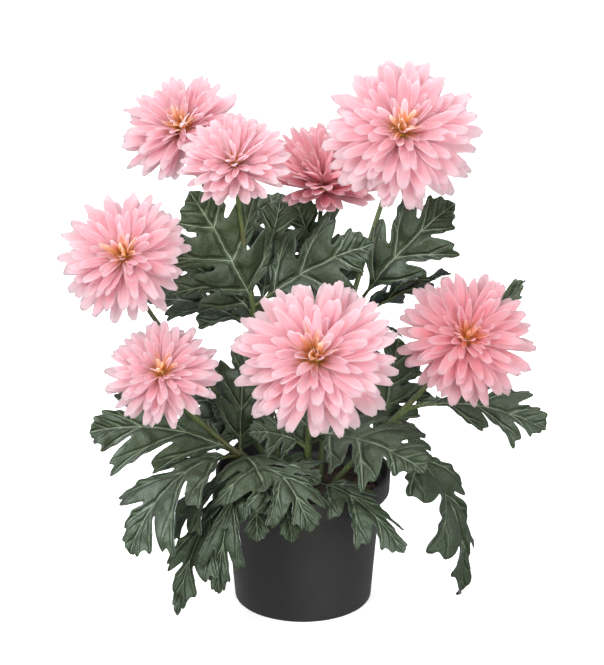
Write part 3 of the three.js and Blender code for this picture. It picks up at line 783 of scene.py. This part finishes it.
def tube(path, radii, sides, ridge=0.0, ridges=6):
    """Points and faces of a closed tube along the path."""
    path = np.asarray(path, float)
    along = unit(np.gradient(path, axis=0))
    side = unit(np.cross(along[0], ANY_WAY))
    angles = np.linspace(0, 2 * np.pi, sides, endpoint=False)
    swell = 1 + ridge * np.cos(ridges * angles)
    rings = []
    for centre, ahead, radius in zip(path, along, radii):
        side = unit(side - ahead * (side @ ahead))
        across = np.cross(ahead, side)
        ring = np.outer(np.cos(angles) * swell, side) + np.outer(np.sin(angles) * swell, across)
        rings.append(centre + radius * ring)
    faces = ring_faces(len(path), sides)
    faces.append(tuple(range(sides - 1, -1, -1)))
    faces.append(tuple(range((len(path) - 1) * sides, len(path) * sides)))
    return np.concatenate(rings), faces


print("tube is ready")

# %% [markdown]
# ## The leaf's flat pattern
# A chrysanthemum leaf is cut into two long lobes on each side and one at its end. The sinuses between
# them are round and reach about two thirds of the way in to the midrib, and the lobes carry a few blunt
# teeth. Half of the outline is drawn here, from the stalk to the tip, as [along, across] in
# shares of the length. A spline through those points rounds the sinuses and the shoulders of the teeth.
#
# The pattern is filled with an even net of triangles by a constrained Delaunay triangulation, which
# keeps the outline and the ribs as edges. So the blade can later sink to a crease at every main rib.

# %% Leaf outline
HALF_OUTLINE = [
    # the stalk's end and the wedge at its sides
    (0.0, 0.014), (0.045, 0.030), (0.090, 0.060),
    # the first lobe
    (0.115, 0.110), (0.145, 0.170), (0.180, 0.182), (0.215, 0.245), (0.250, 0.255), (0.295, 0.325),
    (0.335, 0.345), (0.345, 0.315), (0.395, 0.290), (0.402, 0.240), (0.390, 0.195), (0.376, 0.158),
    (0.362, 0.128), (0.366, 0.108),
    # the second lobe
    (0.384, 0.110), (0.404, 0.138), (0.428, 0.180), (0.462, 0.220), (0.500, 0.235), (0.530, 0.285),
    (0.570, 0.290), (0.615, 0.340), (0.665, 0.355), (0.680, 0.325), (0.675, 0.290), (0.722, 0.265),
    (0.718, 0.215), (0.700, 0.170), (0.680, 0.132), (0.666, 0.106), (0.672, 0.090),
    # the end lobe
    (0.688, 0.092), (0.710, 0.110), (0.740, 0.136), (0.768, 0.138), (0.812, 0.166), (0.842, 0.160),
    (0.850, 0.128), (0.885, 0.112), (0.912, 0.108), (0.930, 0.088), (0.932, 0.068), (0.962, 0.048),
    (0.974, 0.030), (1.0, 0.0),
]
OUTLINE_STEP, NET_STEP = 0.010, 0.023


def spline_through(points, step, tension=0.42):
    """A Catmull-Rom curve through the points, as points about a step apart."""
    points = np.asarray(points, float)
    padded = np.vstack((2 * points[0] - points[1], points, 2 * points[-1] - points[-2]))
    curve = []
    for before, start, end, after in zip(padded, padded[1:], padded[2:], padded[3:]):
        pieces = max(1, round(float(np.linalg.norm(end - start)) / step))
        t = (np.arange(pieces) / pieces)[:, None]
        leave, arrive = tension * (end - before), tension * (after - start)
        curve.append(
            (2 * t**3 - 3 * t**2 + 1) * start
            + (t**3 - 2 * t**2 + t) * leave
            + (3 * t**2 - 2 * t**3) * end
            + (t**3 - t**2) * arrive
        )
    return np.vstack(curve + [points[-1:]])


half = spline_through(HALF_OUTLINE, OUTLINE_STEP)[:, ::-1]  # as [across, along]
mirrored = half[:-1][::-1] * (-1, 1)
LEAF_OUTLINE = np.vstack((half, mirrored))
print("the outline has", len(LEAF_OUTLINE), "points")

# %% [markdown]
# How a point of the blade moves depends on how far it is from the rim and from the nearest rib: the rim
# waves, and the blade puffs up between its ribs. Both distances are measured once, on the flat pattern.

# %% Distances on the pattern


def distance_to_lines(points, starts, ends):
    """How far each point is from the nearest of some straight lines."""
    span = ends - starts
    offset = points[:, None] - starts[None]
    share = np.clip((offset * span).sum(-1) / np.maximum((span**2).sum(-1), 1e-12), 0, 1)
    return np.linalg.norm(offset - share[..., None] * span, axis=-1).min(axis=1)


def outline_distance(points):
    return distance_to_lines(points, LEAF_OUTLINE, np.roll(LEAF_OUTLINE, -1, axis=0))


def both_sides(ribs):
    """The feet and tips of ribs, with their mirror images."""
    lines = np.array(ribs, float)
    lines = np.concatenate((lines, lines * (-1, 1)))
    return lines[:, 0], lines[:, 1]


CREASES = both_sides([MIDRIB] + LOBE_RIBS)
print("the blade is creased along", len(CREASES[0]) - 1, "ribs")

# %% [markdown]
# The net is rows of points, each shifted by half a step against the last, so that its triangles are
# nearly even. Points too close to the outline or to a rib are left out, because those have their own.

# %% Leaf net


def rib_chain(foot, tip):
    """Points along a rib, a net step apart."""
    foot, tip = np.array(foot, float), np.array(tip, float)
    pieces = max(2, round(float(np.linalg.norm(tip - foot)) / NET_STEP))
    return foot + np.linspace(0, 1, pieces + 1)[:, None] * (tip - foot)


def even_net(rib_points):
    """Rows of points that keep clear of the outline and of the ribs."""
    net = []
    for k, along in enumerate(np.arange(0.0, 1.0, NET_STEP * 0.866)):
        across = np.arange(-0.46, 0.46, NET_STEP) + (k % 2) * NET_STEP / 2
        net.append(np.stack((across, np.full(len(across), along)), axis=1))
    net = np.vstack(net)
    gaps = np.linalg.norm(net[:, None] - rib_points[None], axis=-1).min(axis=1)
    return net[(outline_distance(net) > 0.45 * NET_STEP) & (gaps > 0.6 * NET_STEP)]


def without_strays(points, faces):
    """The points that some face uses, and the faces, numbered anew and all turned upwards."""
    used = np.unique(faces)
    renumbered = np.full(len(points), -1)
    renumbered[used] = np.arange(len(used))
    points, faces = points[used], renumbered[faces]
    a, b, c = (points[faces[:, i]] for i in range(3))
    area = (b[:, 0] - a[:, 0]) * (c[:, 1] - a[:, 1]) - (c[:, 0] - a[:, 0]) * (b[:, 1] - a[:, 1])
    faces[area < 0] = faces[area < 0][:, ::-1]
    return points, faces


def flat_leaf():
    """The net of the flat pattern: its points, its triangles and their distances."""
    chains = [rib_chain((0, 0.02), (0, 0.97))]
    for (fx, fy), (tx, ty) in LOBE_RIBS:
        for side in (1, -1):
            chains.append(rib_chain((side * fx, fy), (side * tx, ty))[1:])
    rib_points = np.vstack(chains)
    points = np.vstack((LEAF_OUTLINE, rib_points, even_net(rib_points)))
    edges = []
    start = len(LEAF_OUTLINE)
    for chain in chains:
        edges += [(start + i, start + i + 1) for i in range(len(chain) - 1)]
        start += len(chain)
    border = list(range(len(LEAF_OUTLINE)))
    made = delaunay_2d_cdt([Vector(p) for p in points], edges, [border], 1, 1e-6)
    points, faces = (np.array([tuple(item) for item in made[k]]) for k in (0, 2))
    points, faces = without_strays(points, faces)
    return points, faces, outline_distance(points), distance_to_lines(points, *CREASES)


FLAT_POINTS, FLAT_FACES, TO_OUTLINE, TO_RIB = flat_leaf()
print("the flat leaf has", len(FLAT_POINTS), "points and", len(FLAT_FACES), "triangles")

# %% [markdown]
# ## Bending a leaf
# A leaf follows a line from its stem to its tip. The line starts at `rise` and bends down evenly. At
# each step it has a direction across the leaf and one out of its upper face, and any point of the flat
# pattern is carried to them. Armatures or cloth could bend it too, but sums like these are exact and
# give the same leaf each time. The blade folds up a little on both sides of the midrib, its edges sag,
# its lobes turn up and down in turns, it puffs up between the ribs, and its rim waves gently.

# %% Leaf spine and surface
SPINE_STEPS = 24
LEAF_FOLD = 14  # degrees
LEAF_SAG = 0.9
LOBE_BEND, LOBE_TURNS = 0.05, 1.1
LOBE_REACH = 0.35  # how far the longest lobe's tip is from the midrib
PUFF, PUFF_FROM = 0.0022, 0.0045  # its height, and how far from a rib it is nearly full
WAVE, WAVE_FROM = 0.0012, 0.004
FULL_SIZE = 0.08  # shorter leaves puff and wave less


def leaf_spine(start, form):
    """Tables of the leaf's line: distance, place, and directions across and out."""
    total = form["length"] + form["stalk"]
    pitch = form["rise"] - form["droop"] * np.arange(SPINE_STEPS + 1) / SPINE_STEPS
    middle = pitch[:-1] - form["droop"] * 0.5 / SPINE_STEPS
    strides = np.array([facing(form["heading"], p) for p in middle]) * total / SPINE_STEPS
    place = np.vstack((start, start + np.cumsum(strides, axis=0)))
    along = np.array([facing(form["heading"], p) for p in pitch])
    level = facing(form["heading"] + 90, 0)
    roll = math.radians(form["roll"])
    across = level * math.cos(roll) + np.cross(along, level) * math.sin(roll)
    return np.linspace(0, total, SPINE_STEPS + 1), place, across, np.cross(along, across)


def pick(table, distance, values):
    return np.stack([np.interp(distance, table, values[:, i]) for i in range(3)], axis=1)


def on_leaf(form, spine, flat, lift):
    """The places of flat pattern points [across, along] at a height over the leaf's surface."""
    table, place, across, out = spine
    length = form["length"]
    sweep = np.where(flat[:, 0] > 0, form["sweep"][0], form["sweep"][1])
    spread = np.where(flat[:, 0] > 0, form["spread"][0], form["spread"][1])
    distance = form["stalk"] + (flat[:, 1] + sweep * np.abs(flat[:, 0])) * length
    aside = flat[:, 0] * spread * length
    fold = math.radians(LEAF_FOLD)
    turn = math.radians(form["heading"]) + 2 * np.pi * LOBE_TURNS * flat[:, 1] + np.sign(flat[:, 0])
    bend = LOBE_BEND * length * (np.abs(flat[:, 0]) / LOBE_REACH) ** 1.5 * np.sin(turn)
    rise = np.abs(aside) * math.sin(fold) - LEAF_SAG * aside**2 / length + bend + lift
    sideways = pick(table, distance, across) * (aside * math.cos(fold))[:, None]
    return pick(table, distance, place) + sideways + pick(table, distance, out) * rise[:, None]


def leaf_relief(form, rng):
    """How far each point of the net stands out of the smooth surface."""
    length = form["length"]
    puff = PUFF * (1 - np.exp(-((TO_RIB * length / PUFF_FROM) ** 2)))
    rim = np.exp(-TO_OUTLINE * length / WAVE_FROM)
    turns, phase = rng.uniform(3.5, 5.0), rng.uniform(0, 2 * np.pi)
    side = np.sign(FLAT_POINTS[:, 0])
    wave = WAVE * rim * np.sin(2 * np.pi * turns * FLAT_POINTS[:, 1] + phase + side)
    return (puff + wave) * min(1.0, length / FULL_SIZE)


print("a leaf puffs up by", round(PUFF * 1000, 1), "mm between its ribs")

# %% [markdown]
# ## Stems
# A stem rises from the soil, bends over, and ends behind its bloom. A Bezier curve with four handles
# does just that, and it needs no more than the stem's `root`, `lift`, `neck` and `hang`. Where a leaf
# leaves it, the stem swells into a small knot.

# %% Stem curve
STEM_RINGS, STEM_SIDES = 56, 18
KNOT_SWELL, KNOT_LENGTH = 0.22, 0.004
BURIED = 0.02  # how much of a stem stands in the soil


def stem_handles(stem):
    bloom = stem["bloom"]
    look = facing(bloom["turn"], bloom["tilt"])
    foot = np.array((*stem["root"], SOIL_TOP + SOIL_CROWN))
    end = bloom_foot(bloom) - look * 0.6 * CALYX_HEIGHT
    up = np.array((0, 0, 1.0))
    return foot, foot + up * stem["lift"], end - look * stem["neck"] - up * stem.get("hang", 0), end


def stem_path(stem, t):
    a, b, c, d = stem_handles(stem)
    t = np.asarray(t, float)[:, None]
    return (1 - t) ** 3 * a + 3 * (1 - t) ** 2 * t * b + 3 * (1 - t) * t**2 * c + t**3 * d


def stem_at(stem, z):
    """The point of the stem at the height z."""
    t = np.linspace(0, 1, 400)
    path = stem_path(stem, t)
    reached = int(np.argmax(path[:, 2] >= z))
    return path[reached]


def build_stem(pile, stem):
    t = np.linspace(0, 1, STEM_RINGS)
    path = stem_path(stem, t)
    radii = STEM_ROOT + (STEM_NECK - STEM_ROOT) * t
    for form in stem["leaves"]:
        radii *= 1 + KNOT_SWELL * np.exp(-(((path[:, 2] - form["z"]) / KNOT_LENGTH) ** 2))
    path = np.vstack((path[0] - (0, 0, BURIED), path))
    pile.add(*tube(path, np.append(radii[0], radii), STEM_SIDES, ridge=0.05))


print("stems have", STEM_SIDES, "sides and", STEM_RINGS, "rings")

# %% [markdown]
# A leaf's stalk runs on under the blade as its midrib, and thinner ribs stand out under the lobes. They
# are the same tubes as the stems, laid along the bent pattern and sunk a little into its underside.

# %% Leaf builder
STALK_ROOT, STALK_END, RIB_ROOT = 0.0016, 0.0011, 0.00055  # radii
MIDRIB_TO = 0.9  # the midrib stands out as far as this


def build_leaf(blades, stalks, stem, form, rng):
    """A blade, and the stalk that goes on under it as the midrib, with a rib under each lobe."""
    start = stem_at(stem, form["z"])
    spine = leaf_spine(start, form)
    lift = leaf_relief(form, rng)
    flat = FLAT_POINTS + (0.5, 0)
    blades.add(on_leaf(form, spine, FLAT_POINTS, lift), FLAT_FACES, flat, tone=rng.random())

    stalk_share = form["stalk"] / form["length"]
    along = np.linspace(-stalk_share, MIDRIB_TO, 26)
    blade_part = np.clip(along / MIDRIB_TO, 0, 1)
    radii = np.where(
        along < 0,
        STALK_END + (STALK_ROOT - STALK_END) * np.clip(-along / stalk_share, 0, 1),
        STALK_END * (1 - 0.8 * blade_part),
    )
    under = np.clip((along + 0.02) / 0.1, 0, 1) * (radii * 0.75 + LEAF_THICKNESS / 2)
    path = on_leaf(form, spine, np.stack((along * 0, along), axis=1), -under)
    stalks.add(*tube(path, radii, 8))
    for foot, tip in LOBE_RIBS:
        for side in (1, -1):
            chain = rib_chain(foot, tip) * (side, 1)
            radii = RIB_ROOT * (1 - 0.7 * np.linspace(0, 1, len(chain)))
            path = on_leaf(form, spine, chain, -(radii * 0.6 + LEAF_THICKNESS / 2))
            stalks.add(*tube(path, radii, 6))


print("a leaf is a blade, a stalk and", 2 * len(LOBE_RIBS), "ribs")

# %% Build the leaves and stems
rng = random.Random(7)
for name, stem in STEMS.items():
    blades, stalks = Pile(), Pile()
    build_stem(stalks, stem)
    for form in stem["leaves"]:
        build_leaf(blades, stalks, stem, form, rng)
    leaves = blades.piece(f"leaves_{name}", [LEAF_FACE, LEAF_BACK], LEAF_THICKNESS)
    mount(leaves, "leaf", f"leafy_stem_{name}")
    mount(stalks.piece(f"stem_{name}", [STEM_SKIN]), "leaf", f"leafy_stem_{name}")
    print(name, "has", len(stem["leaves"]), "leaves and", blades.count, "points in them")

# %% [markdown]
# ## Petals
# Petals and bracts are the same kind of thing: a strip that starts at a root, widens, and ends in a
# rounded tip, while its pitch turns from a first angle to a last one. `blade_sheet` makes one as a grid.
# Across, it is cupped like a spoon and has two shallow furrows. It may twist about its length and lean
# to one side, and its rows shorten towards the sides, which rounds or points its tip. Cloth that is
# dropped would look as soft, but it couldn't be told which way to lie.

# %% Blade sheet
PETAL_ROWS, PETAL_COLUMNS = 15, 9
FINE_STEPS = 40  # the turning pitch is added up in steps much finer than the rows
WIDEST = 0.66  # how far up a petal is widest, as a share of its length
FOOT_WIDTH = 0.34  # of a petal's foot, as a share of its width


def blade_sheet(shape, rows=PETAL_ROWS, columns=PETAL_COLUMNS):
    """A grid of points in the bloom's frame, where +Z is the way that the bloom looks.

    s goes from 0 at the root to 1 at the tip, and t from -1 at one side to 1 at the other."""
    s = np.linspace(0, 1, rows)[:, None]
    t = np.linspace(-1, 1, columns)[None]
    fine = np.linspace(0, 1, FINE_STEPS + 1)
    pitch = np.radians(shape["start"] + (shape["end"] - shape["start"]) * fine + shape["curl"] * fine**4)
    middle = (pitch[1:] + pitch[:-1]) / 2
    step = shape["length"] / FINE_STEPS
    out = np.append(0, np.cumsum(np.cos(middle))) * step + shape["root"][0]
    up = np.append(0, np.cumsum(np.sin(middle))) * step + shape["root"][1]
    reach = s * (1 - shape["round"] * np.abs(t) ** shape["point"]) - s**8 * shape["fringe"]
    bend = np.interp(reach, fine, pitch)
    widen = np.clip(s / WIDEST, 0, 1)
    narrow = np.clip((s - WIDEST) / (1 - WIDEST), 0, 1)
    swell = FOOT_WIDTH + (1 - FOOT_WIDTH) * widen * (2 - widen)
    width = shape["half"] * swell * (1 - 0.20 * narrow**2)
    cup = shape["cup"] * (1 - 0.55 * s) * width * np.abs(t) ** 2.2
    furrow = 0.07 * shape["half"] * np.cos(3 * np.pi * t) * np.sin(np.pi * s) ** 0.5
    twist = math.radians(shape["twist"]) * s
    aside = t * width
    raised = cup + furrow
    side = aside * np.cos(twist) - raised * np.sin(twist)
    face = aside * np.sin(twist) + raised * np.cos(twist)
    radius = np.interp(reach, fine, out) - np.sin(bend) * face
    height = np.interp(reach, fine, up) + np.cos(bend) * face
    side = side + shape["lean"] * s**2 * shape["length"]
    cos, sin = math.cos(shape["turn"]), math.sin(shape["turn"])
    points = np.stack((radius * cos - side * sin, radius * sin + side * cos, height), axis=-1)
    flat = np.stack(np.broadcast_arrays((t + 1) / 2, s), axis=-1)
    return points.reshape(-1, 3), grid_faces(rows, columns), flat


print("a petal has", PETAL_ROWS * PETAL_COLUMNS, "points")

# %% [markdown]
# ## Blooms
# A double bloom is built here from eight rounds of petals. The outermost lie flat or bend back, and each
# round inward stands more upright and is shorter, down to the small, nearly upright petals of the heart.
# A petal's angle above the level goes from `start` at its root to `end`, and `curl` is added towards its
# tip. `share` times the bloom's `petals` is how many the round has, `reach` and `width` are shares of
# the bloom's radius, and `cup` is how much its petals are spooned. `loose` is how unevenly they lie, in
# degrees. Without it the rounds would show as rings.
#
# A closed bloom is the same rounds, each raised by the same share of what is left to the upright. Its
# `depth` is lessened too, so that its upright petals don't all turn orange.

# %% Rounds of petals
ROUNDS = [
    dict(share=0.28, start=6, end=-8, reach=1.00, width=0.200, cup=0.14, curl=-6, loose=5),
    dict(share=0.28, start=13, end=2, reach=0.99, width=0.190, cup=0.14, curl=-8, loose=6),
    dict(share=0.28, start=21, end=9, reach=0.96, width=0.178, cup=0.16, curl=-6, loose=6),
    dict(share=0.28, start=30, end=17, reach=0.88, width=0.160, cup=0.18, curl=-6, loose=8),
    dict(share=0.26, start=40, end=25, reach=0.73, width=0.138, cup=0.22, curl=-8, loose=10),
    dict(share=0.22, start=51, end=36, reach=0.57, width=0.112, cup=0.32, curl=-8, loose=14),
    dict(share=0.18, start=62, end=50, reach=0.44, width=0.086, cup=0.45, curl=-10, loose=20),
    dict(share=0.17, start=76, end=72, reach=0.34, width=0.066, cup=0.60, curl=6, loose=30),
]
print("a bloom has", len(ROUNDS), "rounds of petals")

# %% Bloom builder


def head_width(share):
    """The radius of the head at a share of its height, as a share of its foot's."""
    return 1 - 0.75 * share**1.5


def bloom_frame(bloom):
    """The rotation, as rows, and the place that carry a bloom's own frame to the plant's."""
    look = Vector(facing(bloom["turn"], bloom["tilt"]))
    turned = Vector((0, 0, 1)).rotation_difference(look).to_matrix()
    return np.array(turned).T, bloom_foot(bloom)


def build_bloom(name, bloom, rng):
    rotation, place = bloom_frame(bloom)
    radius, cup = bloom["radius"], bloom.get("cup", 0)
    head = HEAD * radius
    pile = Pile()
    for k, rank in enumerate(ROUNDS):
        count = round(rank["share"] * bloom["petals"])
        base = (k + 0.5) / len(ROUNDS)
        raised = [90 - (90 - rank[key]) * (1 - cup / 90) for key in ("start", "end")]
        reach = radius * (rank["reach"] + (1 - rank["reach"]) * cup / 45)
        inset = head_width(base) * head * math.cos(math.radians(raised[0]))
        for i in range(count):
            lift = rank["loose"] * rng.uniform(-1, 1) * (1 - cup / 60)
            shape = dict(
                turn=2 * math.pi * (i + 0.25 + 0.5 * (k % 2) + 0.3 * rng.uniform(-1, 1)) / count,
                root=(head_width(base) * head * 0.8, base * HEAD_HEIGHT * head),
                start=raised[0] + lift,
                end=raised[1] + lift + 5 * rng.uniform(-1, 1),
                curl=rank["curl"] + 7 * rng.uniform(-1, 1),
                length=reach * (1 + 0.015 * rank["loose"] * rng.uniform(-1, 1)) - inset,
                half=0.5 * rank["width"] * radius * rng.uniform(0.85, 1.15),
                cup=rank["cup"] * rng.uniform(0.5, 1.4),
                round=rng.uniform(0.09, 0.18),
                point=rng.uniform(1.7, 3.6),
                fringe=np.array([rng.uniform(0, 0.035) for _ in range(PETAL_COLUMNS)]),
                twist=2.5 * rank["loose"] * rng.uniform(-1, 1),
                lean=rng.uniform(-0.11, 0.11),
            )
            points, faces, flat = blade_sheet(shape)
            depth = k / (len(ROUNDS) - 1) * (1 - cup / 30)
            # the deeper pink of a whole bloom is painted shade on the back middle one
            marks = dict(tone=rng.random(), depth=depth, deeper_pink=bloom.get("deeper_pink", 0.0))
            pile.add(points @ rotation + place, faces, flat, **marks)
    petals = pile.piece(f"petals_{name}", [PETAL_FACE, PETAL_BACK], PETAL_THICKNESS)
    mount(petals, "petal", f"bloom_{name}")
    return pile.count // (PETAL_ROWS * PETAL_COLUMNS)


print("halfway up, the head is", round(head_width(0.5), 2), "of its foot's width")

# %% Heads and blooms


def upright_tube(bloom, heights, radii, sides):
    """A pile with one tube that stands on the bloom's own axis."""
    rotation, place = bloom_frame(bloom)
    points, faces = tube(np.stack((heights * 0, heights * 0, heights), axis=1), radii, sides)
    pile = Pile()
    pile.add(points @ rotation + place, faces)
    return pile


def build_head(name, bloom):
    """The little dome of florets in the heart of the bloom."""
    head = HEAD * bloom["radius"]
    shares = np.linspace(0, 1, 12)
    radii = 0.82 * head * head_width(shares) * np.sqrt(np.clip(1 - shares**6, 0.02, 1))
    pile = upright_tube(bloom, shares * HEAD_HEIGHT * head * 0.96, radii, 20)
    mount(pile.piece(f"head_{name}", [FLORETS]), "petal", f"bloom_{name}")


rng = random.Random(23)
for name, stem in STEMS.items():
    count = build_bloom(name, stem["bloom"], rng)
    build_head(name, stem["bloom"])
    print(name, "has", count, "petals")

# %% [markdown]
# ## Calyx
# Under each bloom is a green cup, wrapped in three rounds of small pointed bracts that overlap like
# roof tiles. The bracts are blade sheets again, much smaller, and nearly upright against the cup. Bumps
# on the cup would do from afar, but from below one sees their tips stand off.

# %% Calyx
BRACTS_A_ROUND = 13
BRACT_ROUNDS = [(-0.0068, 0.0050), (-0.0048, 0.0052), (-0.0028, 0.0050)]  # foot, length
BRACT_FORM = dict(half=0.0017, curl=-14, cup=0.9, round=0.45, point=1.1, fringe=0)
CALYX_WAIST = 0.002
CALYX_SHARE = 0.9  # of the head's radius


def calyx_radius(z, wide):
    share = np.clip(1 + np.asarray(z) / CALYX_HEIGHT, 0, 1)
    return CALYX_WAIST + (wide - CALYX_WAIST) * np.sin(0.5 * np.pi * share) ** 0.8


def build_calyx(name, bloom, rng):
    rotation, place = bloom_frame(bloom)
    wide = CALYX_SHARE * HEAD * bloom["radius"]
    z = np.linspace(-CALYX_HEIGHT, -0.0002, 14)
    cup, bracts = upright_tube(bloom, z, calyx_radius(z, wide), 24), Pile()
    mount(cup.piece(f"calyx_{name}", [STEM_SKIN]), "leaf", f"leafy_stem_{name}")
    for k, (foot, length) in enumerate(BRACT_ROUNDS):
        for i in range(BRACTS_A_ROUND):
            shape = dict(
                lean=rng.uniform(-0.05, 0.05),
                turn=2 * math.pi * (i + 0.5 * (k % 2)) / BRACTS_A_ROUND,
                root=(float(calyx_radius(foot, wide)) + 0.0001, foot),
                start=46 + 7 * k,
                end=62 + 6 * k,
                length=length * rng.uniform(0.94, 1.06),
                twist=rng.uniform(-6, 6),
                **BRACT_FORM,
            )
            points, faces, flat = blade_sheet(shape, rows=8, columns=5)
            bracts.add(points @ rotation + place, faces, flat, tone=rng.random())
    made = bracts.piece(f"bracts_{name}", [LEAF_BACK, LEAF_BACK], 0.0003)
    mount(made, "leaf", f"leafy_stem_{name}")


rng = random.Random(41)
for name, stem in STEMS.items():
    build_calyx(name, stem["bloom"], rng)
print("each calyx has", BRACTS_A_ROUND * len(BRACT_ROUNDS), "bracts")

# %% [markdown]
# ## The pot
# A nursery pot is a thin tapered cup with a deep collar. Cylinders could be stacked for it, but its wall
# is one shell inside and out. So its profile is drawn as half a section, with small arcs where a mould
# leaves its corners round, and is then turned about the pot's axis. The soil is turned in the same way.

# %% Turned bodies


def rounded(profile, radii, steps=5):
    """The profile with each corner turned into an arc of about that radius."""
    made = [profile[0]]
    for before, corner, after, radius in zip(profile, profile[1:], profile[2:], radii):
        before, corner, after = (np.array(p, float) for p in (before, corner, after))
        back, ahead = unit(before - corner), unit(after - corner)
        start, end = corner + back * radius, corner + ahead * radius
        for t in np.linspace(0, 1, steps):
            made.append((1 - t) ** 2 * start + 2 * t * (1 - t) * corner + t**2 * end)
    return np.array(made + [profile[-1]])


def turned(profile, sides):
    """Points and faces of a closed body of revolution. The profile starts and ends on the axis."""
    angles = np.linspace(0, 2 * np.pi, sides, endpoint=False)
    inner = np.asarray(profile)[1:-1]
    ring = np.stack((np.cos(angles), np.sin(angles)), axis=1)
    points = [np.append(radius * ring, np.full((sides, 1), z), axis=1) for radius, z in inner]
    points = np.vstack(points + [np.array([[0, 0, profile[0][1]], [0, 0, profile[-1][1]]])])
    faces = ring_faces(len(inner), sides)
    first, last, top = len(points) - 2, len(points) - 1, (len(inner) - 1) * sides
    for i in range(sides):
        faces.append((first, (i + 1) % sides, i))
        faces.append((last, top + i, top + (i + 1) % sides))
    return points, faces


print("profiles can be rounded and turned")

# %% Pot
POT_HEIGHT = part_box("pot")[1].z
BASE_RADIUS, SHOULDER_RADIUS, COLLAR_RADIUS = 0.0475, 0.054, 0.0605
COLLAR_HEIGHT, WALL, POT_FLOOR = 0.015, 0.0018, 0.0024
SHOULDER = POT_HEIGHT - COLLAR_HEIGHT
TAPER_FROM = 0.0015  # the wall leans out from this height
POT_SIDES = 128


def inner_radius(z):
    share = (z - TAPER_FROM) / (SHOULDER - TAPER_FROM)
    return BASE_RADIUS + (SHOULDER_RADIUS - BASE_RADIUS) * share - WALL


POT_PROFILE = [
    (0, 0),
    (BASE_RADIUS, 0),
    (SHOULDER_RADIUS, SHOULDER),
    (COLLAR_RADIUS - 0.0006, SHOULDER + 0.0004),
    (COLLAR_RADIUS, POT_HEIGHT),
    (COLLAR_RADIUS - WALL - 0.0004, POT_HEIGHT),
    (COLLAR_RADIUS - WALL - 0.0016, SHOULDER + 0.004),
    (inner_radius(SHOULDER), SHOULDER),
    (inner_radius(POT_FLOOR), POT_FLOOR),
    (0, POT_FLOOR),
]
CORNERS = [0.0016, 0.0008, 0.0010, 0.0009, 0.0007, 0.0010, 0.0010, 0.0010]
pot = Pile()
pot.add(*turned(rounded(POT_PROFILE, CORNERS), POT_SIDES))
mount(pot.piece("nursery_pot", [POT_PLASTIC]), "pot", "pot")
print("the pot is", round(2000 * COLLAR_RADIUS), "mm wide and", round(1000 * POT_HEIGHT), "mm high")

# %% [markdown]
# ## The soil
# Potting soil is a loose heap of crumbs. Noise alone makes a top that looks poured, and crumbs alone
# would take thousands. So the body of it is a disc whose top is raised by fractal noise, and on it lie
# some hundreds of separate crumbs, each a rough little ball, thrown by seeded draws.

# %% Soil
SOIL_RINGS, SOIL_SIDES = 40, 120
SOIL_FOOT = 0.003  # its underside, above the ground
SOIL_GAP = 0.0012  # between the soil and the wall
SOIL_EDGE = inner_radius(SHOULDER) - SOIL_GAP
LUMP_HEIGHT, LUMPS_A_METRE = 0.0011, 110


def soil_height(x, y):
    radius = math.hypot(x, y)
    crown = SOIL_TOP - SOIL_CROWN * (radius / SOIL_EDGE) ** 2
    lumps = noise.fractal(Vector((x, y, 0)) * LUMPS_A_METRE, 0.8, 2.0, 4)
    return crown - 0.0006 + LUMP_HEIGHT * lumps


def build_soil():
    foot = (inner_radius(SOIL_FOOT) - SOIL_GAP, SOIL_FOOT)
    profile = [(0, SOIL_FOOT), foot, (SOIL_EDGE, SHOULDER - 0.004)]
    rings = [(SOIL_EDGE * (1 - k / SOIL_RINGS), SOIL_TOP) for k in range(SOIL_RINGS)]
    points, faces = turned(profile + rings + [(0, SOIL_TOP)], SOIL_SIDES)
    for point in points[2 * SOIL_SIDES :]:
        if point[2] > SHOULDER - 0.003:
            point[2] = soil_height(point[0], point[1])
    pile = Pile()
    pile.add(points, faces)
    return pile


soil = build_soil()
print("the soil has", soil.count, "points")

# %% Crumbs
CRUMBS = 520
CRUMB_SMALLEST, CRUMB_SPREAD = 0.0006, 0.0016  # radii


def crumb_shape():
    """A ball of 42 points, as points and faces."""
    ball = bpy.data.meshes.new("crumb")
    shaping = bmesh.new()
    bmesh.ops.create_icosphere(shaping, subdivisions=2, radius=1)
    shaping.to_mesh(ball)
    shaping.free()
    points = np.array([tuple(v.co) for v in ball.vertices])
    faces = [tuple(f.vertices) for f in ball.polygons]
    bpy.data.meshes.remove(ball)
    return points, faces


def throw_crumbs(pile, rng):
    points, faces = crumb_shape()
    for _ in range(CRUMBS):
        radius, angle = (SOIL_EDGE - 0.003) * math.sqrt(rng.random()), rng.uniform(0, 2 * math.pi)
        x, y = radius * math.cos(angle), radius * math.sin(angle)
        size = CRUMB_SMALLEST + CRUMB_SPREAD * rng.random() ** 3
        seed = Vector((rng.random(), rng.random(), rng.random())) * 40
        rough = np.array([1 + 0.45 * noise.noise(Vector(p) * 1.3 + seed) for p in points])
        stretch = np.array((rng.uniform(0.7, 1.5), rng.uniform(0.7, 1.3), rng.uniform(0.6, 0.9)))
        place = (x, y, soil_height(x, y) + 0.3 * size)
        pile.add(points * rough[:, None] * stretch * size + place, faces)


throw_crumbs(soil, random.Random(5))
mount(soil.piece("potting_soil", [SOIL_CRUMBS]), "soil", "soil")
print("the soil has", CRUMBS, "loose crumbs")
